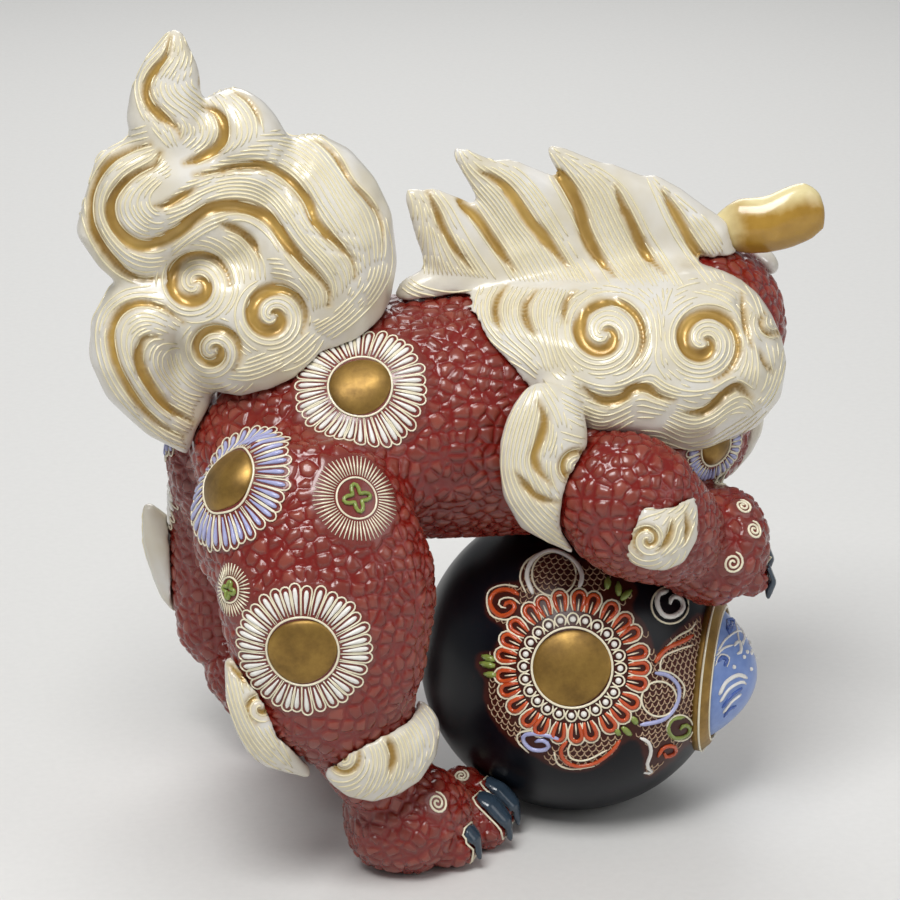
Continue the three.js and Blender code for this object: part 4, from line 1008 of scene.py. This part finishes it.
for name, curl, grooves, locks, step in (
    ("heel_tuft", (1.2, (261, 708), 16, 1.2, 1.9, -1), ((1.1, ((228, 664), (240, 674), (246, 684))),),
     ((((226, 660), (222, 684), (229, 712), (242, 742), (264, 768), (302, 780)),
       ((228, 656), (238, 676), (244, 700), (256, 728), (274, 752), (292, 770)),
       ((238, 656), (248, 670), (258, 688), (270, 700), (282, 730), (294, 764))),), heel_step),
    ("ankle_tuft", (1.3, (342, 759), 19, 1.2, -0.9, -1),
     ((1.5, ((388, 738), (392, 748), (394, 760), (390, 774))),),
     ((((352, 734), (366, 744), (371, 764), (362, 788), (348, 800)),
       ((368, 730), (383, 744), (388, 766), (379, 790), (362, 802)),
       ((386, 722), (401, 738), (407, 762), (400, 784), (384, 800)),
       ((404, 714), (418, 730), (424, 752), (418, 772), (404, 790)),
       ((418, 706), (430, 722), (435, 740), (430, 758), (420, 774)),
       ((428, 700), (438, 714), (441, 732), (438, 750))),), ankle_step),
    ("wrist_tuft", (1.0, (648, 540), 17, 1.2, 2.0, -1),
     ((1.3, ((658, 550), (667, 543), (671, 532), (672, 522))), (1.1, ((686, 514), (689, 527), (686, 542)))),
     ((((690, 488), (676, 502), (660, 512), (640, 518), (626, 532)),
       ((694, 492), (684, 508), (672, 520), (668, 536), (658, 552)),
       ((698, 498), (692, 514), (684, 530), (678, 546), (664, 558)),
       ((700, 508), (698, 524), (692, 540), (680, 552))),), Vector()),
):
    nodes = [name + "_" + side for side in SIDES]
    tuft = skins(nodes, 0.0012, 3, HAIR_VOXEL, 3)
    hair(name + "s", nodes, tuft, 1.8, grooves, locks, (curl,), step)

brow_nodes = ["brow_right", "brow_left", "beard"]
brow_mesh = skins(brow_nodes, 0.0012, 3, HAIR_VOXEL, 2)
note(brow_mesh, "gilded", [-5.0] * len(brow_mesh.vertices))
set_piece("brows_and_beard", brow_mesh, combed_cream, "cream_glaze", *brow_nodes)
brow_tree = tree_of(brow_mesh)
ear_way = (middle_of("ear_right") - middle_of("ear_left")).normalized()
face_way = Vector((0, 0, 1)).cross(ear_way)
strokes = []
for label in brow_nodes:
    low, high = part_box(label)
    for level in np.linspace(low.z, high.z, 9)[1:-1]:
        row = [middle_of(label) + 0.001 * step * ear_way + 0.05 * face_way for step in range(-24, 25, 2)]
        hits = [brow_tree.ray_cast(Vector((p.x, p.y, level)), -face_way, 0.1)[0] for p in row]
        line = [hit for hit in hits if hit]
        if len(line) > 2:
            strokes.append(bead(line, LINE_RADIUS, 0.4))
lay_slip("brow_lines", strokes, ivory_slip, "cream_glaze", 0)

# The ears: flat leaves of clay, pinched to a cup. The backs are under yellow glaze, paler towards the root
# and lighter along the upper edge as painted light from above, and the cups are red.
ear_nodes = ["ear_right", "ear_left"]
ear_mesh = skins(ear_nodes, 0.0014, 4, HAIR_VOXEL, 2)
ear_middle = (middle_of("ear_right") + middle_of("ear_left")) / 2
reach = max((v.co - ear_middle).dot(ear_way) for v in ear_mesh.vertices)
low, high = (pick(v.co.z for v in ear_mesh.vertices) for pick in (min, max))
paleness = []
cupped = []
fluted = []
for vertex in ear_mesh.vertices:
    out = abs((vertex.co - ear_middle).dot(ear_way)) / reach
    height = (vertex.co.z - low) / (high - low)
    # Paler towards the root, and paler towards the top as painted light from above.
    paleness.append(max(1 - smooth_step(0.15, 0.5, out), smooth_step(0.62, 0.98, height)))
    cupped.append(smooth_step(0.2, 0.55, vertex.normal.dot(face_way)))
    wave = math.sin(2 * math.pi * (out - 0.68) / 0.7) * float(smooth_step(0.2, 0.5, out))
    fluted.append(vertex.co + Vector((0, 0, 0.0022 * height * wave)))
for vertex, point in zip(ear_mesh.vertices, fluted):
    vertex.co = point
note(ear_mesh, "pale", paleness)
note(ear_mesh, "cup", cupped)
# Yellow glaze over white slip: ochre where it lies thick, ivory towards the root and, as painted light from
# above, along the upper edge; red in the cup; glossy.
ear_glaze, tree = new_material("yellow_glaze_over_white_slip")
place = node(tree, "TexCoord", {})["Object"]
pool = noise(tree, place, 0.006, 4.0)
ochre = blend(tree, pool, "#946d1f", "#bf963f")
pale = noted(tree, "pale")
# The pale share: paler at the root, and a painted highlight along the upper edge.
pale_root_and_lit_edge = node(tree, "Math", {0: pool, 1: 0.5, 2: pale}, operation="MULTIPLY_ADD")[0]
pale_root_and_lit_edge = node(tree, "MapRange", {"Value": pale_root_and_lit_edge, "From Min": 0.35, "From Max": 1.15})[0]
tone = blend(tree, pale_root_and_lit_edge, ochre, "#e6d7a2")
cup = noted(tree, "cup")
tone = blend(tree, cup, tone, "#7d2219")
rough = between(tree, pool, 0.18, 0.3)
relief = bumped(tree, pool, 0.25, 0.0004)
fired(tree, {"Base Color": tone, "Roughness": rough, "Normal": relief, "Coat Weight": 0.3,
             "Coat Roughness": 0.08})
set_piece("ears", ear_mesh, ear_glaze, "yellow_glaze", *ear_nodes)

# The face: eyes and fangs of white glazed clay pressed into their places, a gold ring and a black pupil
# painted on each eye, and a gilded nose.
face_nodes = ["eye_right", "eye_left", "fang_right", "fang_left"]
face_mesh = skins(face_nodes, 0.0010, 2, 0.0007, 1)
FANG_ROOT = 0.006
fang_low, fang_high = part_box("fang_right")
for vertex in face_mesh.vertices:
    if vertex.co.z < fang_high.z + 0.001:
        root = float(smooth_step(0.5 * (fang_low.z + fang_high.z), fang_high.z, vertex.co.z))
        vertex.co.z += FANG_ROOT * root
set_piece("eyes_and_fangs", face_mesh, white_slip, "white_glaze", *face_nodes)
face_tree = tree_of(face_mesh)
irises = []
pupils = []
for side in SIDES:
    front = face_tree.ray_cast(middle_of("eye_" + side) + 0.03 * face_way, -face_way)[0]
    gaze = disc_on(face_tree, front, 0.004)
    irises.append(domed(gaze, 0.0046, 0.0004))
    pupils.append(domed(gaze, 0.0026, 0.0009))
black_glaze = enamel("black_brown_glaze", "#120d0b", "#1c1512", 0.14)
set_piece("iris_golds", joined(irises), fired_gold, "gilding")
set_piece("pupils", joined(pupils), black_glaze, "navy_glaze")
set_piece("nose_gilt", skin(["nose"], 0.0010, 2, 0.0008, 1), fired_gold, "gilding", "nose")

# The claws: hooks of clay set into the toes under slate-blue glaze. A line of cream slip is trailed round
# each one, where it meets the toe.
feet = [paw + "_claw_" + side for paw in ("hind", "fore") for side in SIDES]
claw_nodes = [foot + "_" + str(number) for foot in feet for number in (1, 2, 3)]
claws = [skin([label], 0.0009, 2, 0.0007, 1) for label in claw_nodes]
claw_mesh = joined(claws)
slate_glaze = enamel("slate_blue_glaze", "#22303c", "#3c4b5a", 0.16)
set_piece("claws", claw_mesh, slate_glaze, "claw_glaze", *claw_nodes)
claw_tree = tree_of(claw_mesh)
outlines = []
for claw in claws:
    shown = []
    facing = Vector()
    for face in claw.polygons:
        place, outward = hide.find_nearest(face.center)[:2]
        if (face.center - place).dot(outward) > 0.0003:
            shown.append(face.center.copy())
            facing += face.area * face.normal
    facing.normalize()
    up = (Vector((0, 0, 1)) - facing.z * facing).normalized()
    across = up.cross(facing)
    middle = sum(shown, Vector()) / len(shown)
    flat = np.array([((p - middle).dot(across), (p - middle).dot(up)) for p in shown])
    top, tip = flat[:, 1].max(), flat[:, 1].min()
    sides = [[], []]
    for level in np.linspace(top, tip, 9):
        row = flat[abs(flat[:, 1] - level) < (top - tip) / 12, 0]
        sides[0].append((row.min(), level))
        sides[1].append((row.max(), level))
    edge = []
    for side, level in sides[0] + sides[1][::-1]:
        start = middle + float(side) * across + float(level) * up + RAY_START * facing
        hits = [tree.ray_cast(start, -facing, RAY_REACH)[0] for tree in (hide, claw_tree)]
        edge += sorted([hit for hit in hits if hit], key=lambda hit: (hit - start).length)[:1]
    outlines.append(bead(edge, 0.45, closed=True))
lay_slip("claw_outlines", outlines, cream_slip, "cream_glaze")

# The ball: a globe thrown and turned hollow, with a flat foot, dipped in a blue-black glaze. A cloudy brown
# field is sponged on each side of the panel, and what is trailed in slip lies on that.
dome_places = [v.co - ball_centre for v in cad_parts["ball_panel"].data.vertices]
panel_out = max(dome_places, key=lambda place: place.length).normalized()
panel_across = Vector((0, 0, 1)).cross(panel_out).normalized()


def across_panel(point):
    """The like place on the other side of the panel."""
    return point - 2 * (point - ball_centre).dot(panel_across) * panel_across


def on_ball(u, v, lift=SLIP_LIFT):
    """Where the line of sight through a pixel meets the ball, or passes it closest."""
    ray = sight(u, v)
    offset = eye - ball_centre
    toward = -ray.dot(offset)
    beyond = max(toward ** 2 - offset.length_squared + (ball_radius + lift) ** 2, 0)
    spot = eye + (toward - math.sqrt(beyond)) * ray
    return ball_centre + (ball_radius + lift) * (spot - ball_centre).normalized()


def seen_at(points):
    """The pixels at which points show."""
    offset = points - np.array(eye)
    axes = ((1, 0, 0), (0, 1, 0), (0, 0, -1))
    side, top, away = (offset @ np.array(turned @ Vector(axis)) for axis in axes)
    return PHOTO_SIDE / 2 + FOCAL_PIXELS * side / away, PHOTO_SIDE / 2 - FOCAL_PIXELS * top / away


field_edge = flowing((
    (503, 583), (520, 581), (522, 566), (533, 556), (552, 550), (572, 555), (582, 562), (595, 561),
    (611, 568), (630, 582), (637, 591), (631, 608), (642, 621), (650, 637), (656, 654), (665, 643),
    (681, 629), (703, 615), (702, 682), (704, 739), (687, 744), (675, 758), (658, 772), (646, 778),
    (644, 756), (638, 740), (624, 742), (613, 756), (595, 768), (574, 772), (552, 766), (534, 756),
    (517, 746), (503, 733), (489, 713), (484, 694), (485, 680), (476, 666), (479, 653), (493, 652),
    (499, 639), (505, 629), (488, 617), (485, 602), (489, 588), (503, 583),
), 140)


def within_field(points):
    """How many pixels inside the brown field each point shows, below zero outside it."""
    u, v = seen_at(points)
    inside = np.zeros(len(points), bool)
    nearest = np.full(len(points), 1e9)
    for (au, av), (bu, bv) in zip(field_edge, field_edge[1:]):
        crossing = (av > v) != (bv > v)
        inside ^= crossing & (u < au + (v - av) / ((bv - av) or 1e-9) * (bu - au))
        along = ((u - au) * (bu - au) + (v - av) * (bv - av)) / ((bu - au) ** 2 + (bv - av) ** 2 + 1e-9)
        along = np.clip(along, 0, 1)
        nearest = np.minimum(nearest, np.hypot(u - au - along * (bu - au), v - av - along * (bv - av)))
    toward = np.einsum("ij,ij->i", points - np.array(ball_centre), np.array(eye) - points)
    return np.where(toward > 0, np.where(inside, nearest, -nearest), -PHOTO_SIDE)


globe = bmesh.new()
bmesh.ops.create_icosphere(globe, subdivisions=7, radius=ball_radius)
bmesh.ops.translate(globe, verts=globe.verts, vec=ball_centre)
whole = globe.verts[:] + globe.edges[:] + globe.faces[:]
cut = bmesh.ops.bisect_plane(globe, geom=whole, plane_co=(0, 0, 0), plane_no=(0, 0, 1),
                             clear_inner=True)
rim = [part for part in cut["geom_cut"] if isinstance(part, bmesh.types.BMEdge)]
foot = bmesh.ops.edgeloop_fill(globe, edges=rim)["faces"]
bmesh.ops.inset_region(globe, faces=foot, thickness=0.004)
bmesh.ops.translate(globe, verts=foot[0].verts, vec=(0, 0, 0.0015))
ball_mesh = mesh_of(globe, "globe")
corners = corners_of(ball_mesh)
plane = np.array(panel_across)
mirrored = corners - 2 * np.outer((corners - np.array(ball_centre)) @ plane, plane)
note(ball_mesh, "brown", smooth_step(-3, 2.5, np.maximum(within_field(corners), within_field(mirrored))))

# Blue-black dipped glaze: almost black, bluer where it thins, satin; the sponged brown has soft edges.
navy_glaze, tree = new_material("blue_black_glaze_with_sponged_brown")
place = node(tree, "TexCoord", {})["Object"]
brown = noted(tree, "brown")
pool = noise(tree, place, 0.025, 4.0)
navy = blend(tree, pool, "#06070c", "#0d1019")
sponge = noise(tree, place, 0.003, 3.0)
rust = blend(tree, sponge, "#34130e", "#4d1f17")
spread = node(tree, "Math", {0: sponge, 1: 0.5, 2: brown}, operation="MULTIPLY_ADD")[0]
spread = node(tree, "MapRange", {"Value": spread, "From Min": 0.3, "From Max": 1.0})[0]
tone = blend(tree, spread, navy, rust)
rough = between(tree, pool, 0.26, 0.36)
relief = bumped(tree, pool, 0.15, 0.0005)
fired(tree, {"Base Color": tone, "Roughness": rough, "Normal": relief, "Specular IOR Level": 0.25})
set_piece("ball_globe", ball_mesh, navy_glaze, "navy_glaze", "ball")

# The ball's slip: a great flower round a gold disc, with pearls and orange petals, in a net of fish scales,
# with leaves, waves and curls about it. It is laid from the bag and lies the same way past the panel.
ball_tree = tree_of(ball_mesh)
slips = {"cream": [], "white": [], "orange": [], "green": [], "lavender": []}


def two_beads(line, thick, ends=0.5):
    """A stroke, and the like one past the panel."""
    return [bead(way, thick, ends) for way in (line, [across_panel(p) for p in line])]


def trail(colour, thick, points):
    """Lays two strokes through points of the photograph."""
    line = [on_ball(*p) for p in flowing(points, max(4, round(reach_of(points) / 4)))]
    slips[colour].extend(two_beads(line, thick))


def trail_circle(colour, thick, centre, radius):
    u, v = centre
    angles = [i * math.pi / 16 for i in range(33)]
    trail(colour, thick, [(u + radius * math.cos(a), v + radius * math.sin(a)) for a in angles])


FLOWER = (572, 668)
FLOWER_RADIUS = 0.030
FLOWER_PETALS = 25
PEARLS = 24
FINE_LINE = 0.42
golds = []
pearls = bmesh.new()
seen = on_ball(*FLOWER, 0)
for spot in (seen, across_panel(seen)):
    disc = disc_on(ball_tree, spot, FLOWER_RADIUS)
    golds.append(domed(disc, 0.0148, 0.0012, 0.03))
    slips["cream"].append(ring(disc, 0.0153, 0.5))
    for i in range(PEARLS):
        angle = 2 * math.pi * i / PEARLS
        slips["cream"].append(petal_loop(disc, angle, 0.0162, 0.0206, 0.0044, 0.38))
        at = Matrix.Translation(on_disc(disc, 0.0182, angle, 0.0003))
        bmesh.ops.create_icosphere(pearls, subdivisions=2, radius=0.0012, matrix=at)
    for i in range(FLOWER_PETALS):
        angle = 2 * math.pi * (i + 0.1 * math.sin(4 * i)) / FLOWER_PETALS
        slips["orange"].append(petal_loop(disc, angle, 0.0214, 0.0286, 0.0042, 0.85))
        slips["cream"].append(petal_loop(disc, angle, 0.0214, FLOWER_RADIUS, 0.0066, FINE_LINE))
        tick = [on_disc(disc, r, angle, 0.0003) for r in (0.0214, 0.0236, 0.0258)]
        slips["cream"].append(bead(tick, 0.36))
for colour, thick, points in (
    ("white", 1.0, ((533, 594), (527, 576), (533, 560), (548, 551), (562, 553), (576, 563), (582, 576),
                    (579, 588))),
    ("cream", FINE_LINE, ((526, 593), (520, 578), (525, 563), (538, 553))),
    ("orange", 1.0, ((519, 595), (509, 590), (497, 591), (490, 600), (493, 610), (502, 616), (512, 612),
                     (515, 605), (508, 602), (504, 607))),
    ("cream", FINE_LINE, ((518, 587), (503, 585), (489, 591), (487, 604), (492, 616), (506, 620),
                          (514, 617))),
    ("cream", FINE_LINE, ((506, 608), (499, 606), (501, 599), (512, 598), (520, 604))),
    ("white", 1.1, ((668, 591), (659, 594), (657, 604), (663, 615), (674, 616), (683, 608), (680, 598),
                    (672, 597), (670, 604))),
    ("orange", 1.0, ((655, 663), (661, 654), (669, 647), (683, 641), (693, 635))),
    ("cream", FINE_LINE, ((661, 653), (677, 637), (691, 629), (696, 621))),
    ("cream", FINE_LINE, ((660, 672), (662, 658), (677, 650), (693, 645))),
    ("lavender", 0.9, ((655, 673), (667, 675), (677, 684), (679, 695), (674, 709), (662, 720), (640, 725))),
    ("cream", FINE_LINE, ((658, 670), (673, 674), (684, 686), (683, 699))),
    ("green", 0.9, ((685, 717), (673, 719), (668, 729), (674, 738), (686, 736), (690, 728), (684, 725),
                    (680, 730))),
    ("orange", 0.9, ((658, 757), (663, 748), (673, 746), (676, 752), (667, 757), (664, 753))),
    ("white", 0.8, ((640, 738), (648, 742), (651, 752), (647, 766), (652, 772), (644, 773))),
    ("lavender", 0.9, ((560, 740), (546, 735), (527, 734), (523, 740), (531, 749), (544, 750),
                       (549, 745), (542, 740), (535, 742))),
    ("cream", FINE_LINE, ((534, 730), (519, 733), (518, 742), (529, 753))),
    ("orange", 0.9, ((567, 741), (561, 750), (564, 760), (576, 766), (595, 763), (611, 752), (620, 740))),
    ("cream", FINE_LINE, ((574, 738), (568, 750), (572, 759), (587, 760), (607, 750))),
    ("cream", FINE_LINE, ((554, 752), (558, 764), (572, 769), (595, 766))),
    ("green", 1.4, ((608, 577), (607, 589))),
    ("green", 1.4, ((618, 582), (619, 596))),
    ("green", 1.4, ((631, 590), (621, 600))),
    ("green", 1.4, ((482, 656), (495, 660))),
    ("green", 1.4, ((480, 663), (495, 666))),
    ("green", 1.3, ((484, 674), (497, 675))),
    ("green", 1.3, ((632, 717), (637, 724))),
    ("green", 1.3, ((622, 727), (631, 735))),
    ("green", 1.2, ((615, 729), (620, 735))),
):
    trail(colour, thick, points)
for centre, radius in (((554, 574), 22), ((670, 605), 18.6), ((659, 699), 17.6), ((680, 728), 13)):
    trail_circle("cream", FINE_LINE, centre, radius)

SCALE_WIDE = 0.0028
SCALE_TALL = 0.0023
SCALE_ARC = ((-0.5, 0.5), (-0.36, -0.1), (0, -0.42), (0.36, -0.1), (0.5, 0.5))
NET_RADIUS = 0.26
open_places = ((503, 603, 17), (537, 742, 18), (680, 728, 14), (667, 752, 12), (618, 587, 14),
               (627, 727, 13), (488, 666, 11), (648, 756, 10))
scales = []
for row in range(-24, 34):
    latitude = row * SCALE_TALL / ball_radius
    wide = SCALE_WIDE / (ball_radius * math.cos(latitude))
    for place in range(int(2 * math.pi / wide)):
        scales.append((latitude, (place + 0.5 * (row % 2)) * wide, wide))


def on_globe(latitude, longitude, lift=0.0001):
    flat = math.cos(latitude)
    out = Vector((flat * math.cos(longitude), flat * math.sin(longitude), math.sin(latitude)))
    return ball_centre + (ball_radius + lift) * out


spots = np.array([on_globe(latitude, longitude) for latitude, longitude, wide in scales])
inside = within_field(spots)
u, v = seen_at(spots)
clear = np.linalg.norm(spots - np.array(seen), axis=1) > FLOWER_RADIUS + 0.0012
for hole_u, hole_v, radius in open_places:
    clear &= np.hypot(u - hole_u, v - hole_v) > radius
net = []
for (latitude, longitude, wide), deep, free in zip(scales, inside, clear):
    if deep > 3 and free:
        tall = SCALE_TALL / ball_radius
        line = [on_globe(latitude + rise_share * tall, longitude + side_share * wide)
                for side_share, rise_share in SCALE_ARC]
        net.extend(two_beads(line, NET_RADIUS, 0.8))

orange_slip = enamel("orange_slip_under_clear_glaze", "#a8341a", "#d8602a")
for colour, material, slot in (
    ("cream", cream_slip, "cream_glaze"),
    ("white", white_slip, "white_glaze"),
    ("orange", orange_slip, "red_glaze"),
    ("green", green_slip, "yellow_glaze"),
    ("lavender", lavender_slip, "white_glaze"),
):
    lay_slip("ball_" + colour + "_slip", slips[colour], material, slot)
tan_slip = enamel("tan_slip_under_clear_glaze", "#a8856a", "#cdb293")
lay_slip("ball_scale_net", net, tan_slip, "cream_glaze", 0)
set_piece("flower_golds", joined(golds), fired_gold, "gilding")
set_piece("flower_pearls", mesh_of(pearls, "pearls"), white_slip, "white_glaze")


# The panel: a pale blue dome let into the ball's front, in a gilded ring, with white waves and drops of
# spray trailed on it.
def spun(profile, steps=72):
    """A shape turned about the panel's axis. Its profile is radii and heights from the ball's centre."""
    turned_form = bmesh.new()
    verts = [turned_form.verts.new(ball_centre + r * panel_across + h * panel_out) for r, h in profile]
    edges = [turned_form.edges.new(pair) for pair in zip(verts, verts[1:])]
    bmesh.ops.spin(turned_form, geom=verts + edges, cent=ball_centre, axis=panel_out, angle=2 * math.pi,
                   steps=steps, use_merge=True)
    bmesh.ops.remove_doubles(turned_form, verts=turned_form.verts, dist=1e-6)
    bmesh.ops.recalc_face_normals(turned_form, faces=turned_form.faces)
    return mesh_of(turned_form, "turned")


def sizes_of(name):
    """A panel piece's radius, its lowest and highest places on the panel's axis, and its edge's top."""
    places = [v.co - ball_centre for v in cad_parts[name].data.vertices]
    heights = [place.dot(panel_out) for place in places]
    radii = [(place - height * panel_out).length for place, height in zip(places, heights)]
    edge_top = max(height for height, radius in zip(heights, radii) if radius > max(radii) - 0.0005)
    return max(radii), min(heights), max(heights), edge_top


rim_radius, rim_base, rim_top, shoulder = sizes_of("ball_panel_rim")
dome_radius, dome_base, crown, dome_edge = sizes_of("ball_panel")
ROUND = 0.0008
GAP = 0.0003
inner = dome_radius + GAP
middle = 0.5 * (inner + rim_radius)
ring_profile = [(inner, rim_base), (rim_radius, rim_base), (rim_radius, shoulder - ROUND),
                (rim_radius - 0.3 * ROUND, shoulder - 0.3 * ROUND),
                (rim_radius - ROUND, shoulder + 0.4 * ROUND), (middle, 0.5 * (shoulder + rim_top) + ROUND),
                (inner + 2 * ROUND, rim_top - 0.2 * ROUND), (inner + ROUND, rim_top),
                (inner + 0.3 * ROUND, rim_top - 0.3 * ROUND), (inner, rim_top - 1.4 * ROUND),
                (inner, rim_base)]
set_piece("panel_rim", spun(ring_profile), fired_gold, "gilding", "ball_panel_rim")
dome_profile = [(0, dome_base), (dome_radius, dome_base)]
for i in range(13):
    share = 1 - i / 12
    dome_profile.append((dome_radius * share, dome_edge + (crown - dome_edge) * (1 - share ** 2)))
dome_mesh = spun(dome_profile)
sky_glaze = enamel("pale_blue_satin_glaze", "#5a78bb", "#88a2d8", 0.34)
set_piece("panel_dome", dome_mesh, sky_glaze, "blue_glaze", "ball_panel")

dome_tree = tree_of(dome_mesh)
crests = []
deeps = []
for group, thick, points in (
    (crests, 0.9, ((722, 616), (726, 608), (736, 601), (745, 602), (746, 609), (741, 612))),
    (crests, 0.4, ((719, 622), (722, 610), (730, 602))),
    (deeps, 0.9, ((727, 620), (733, 619), (733, 625), (729, 626))),
    (crests, 0.5, ((718, 651), (726, 639), (738, 631), (744, 635), (743, 645))),
    (crests, 0.8, ((734, 646), (739, 641), (741, 651), (737, 654))),
    (crests, 0.5, ((716, 656), (724, 648), (733, 645))),
    (deeps, 0.9, ((717, 662), (722, 657), (727, 660), (724, 666))),
    (crests, 0.4, ((715, 666), (720, 655), (729, 657), (727, 667))),
    (crests, 0.9, ((719, 695), (726, 682), (738, 675), (747, 678))),
    (crests, 0.7, ((720, 702), (729, 689), (741, 682), (746, 684))),
    (deeps, 0.8, ((722, 708), (731, 696), (742, 688))),
    (crests, 0.7, ((723, 713), (731, 702), (741, 694))),
    (deeps, 0.8, ((724, 717), (728, 710), (736, 706))),
):
    pixels = flowing(points, max(4, round(reach_of(points) / 3)))
    line = [hit for hit in (dome_tree.ray_cast(eye, sight(*p))[0] for p in pixels) if hit]
    if len(line) > 2:
        group.extend(two_beads(line, thick))
spray = bmesh.new()
for pixel in ((756, 613), (760, 623), (759, 636), (753, 641), (747, 652), (751, 653), (756, 651),
              (744, 657), (734, 667), (751, 669)):
    spot = dome_tree.ray_cast(eye, sight(*pixel))[0]
    if spot:
        for place in (spot, across_panel(spot)):
            at = Matrix.Translation(place)
            bmesh.ops.create_icosphere(spray, subdivisions=2, radius=0.0009, matrix=at)
deep_blue_slip = enamel("deep_blue_slip_under_clear_glaze", "#3a55a0", "#5270b6")
lay_slip("panel_waves", crests, white_slip, "white_glaze")
lay_slip("panel_deep_waves", deeps, deep_blue_slip, "blue_glaze")
set_piece("panel_spray", mesh_of(spray, "spray"), white_slip, "white_glaze")
ring_lines = []
for radius, height in ((rim_radius, shoulder), (inner + ROUND, rim_top)):
    line = []
    for i in range(72):
        angle = i * math.pi / 36
        side = math.cos(angle) * panel_across + math.sin(angle) * panel_out.cross(panel_across)
        line.append(ball_centre + radius * side + height * panel_out)
    ring_lines.append(bead(line, 0.45, closed=True))
lay_slip("panel_rim_lines", ring_lines, cream_slip, "cream_glaze")
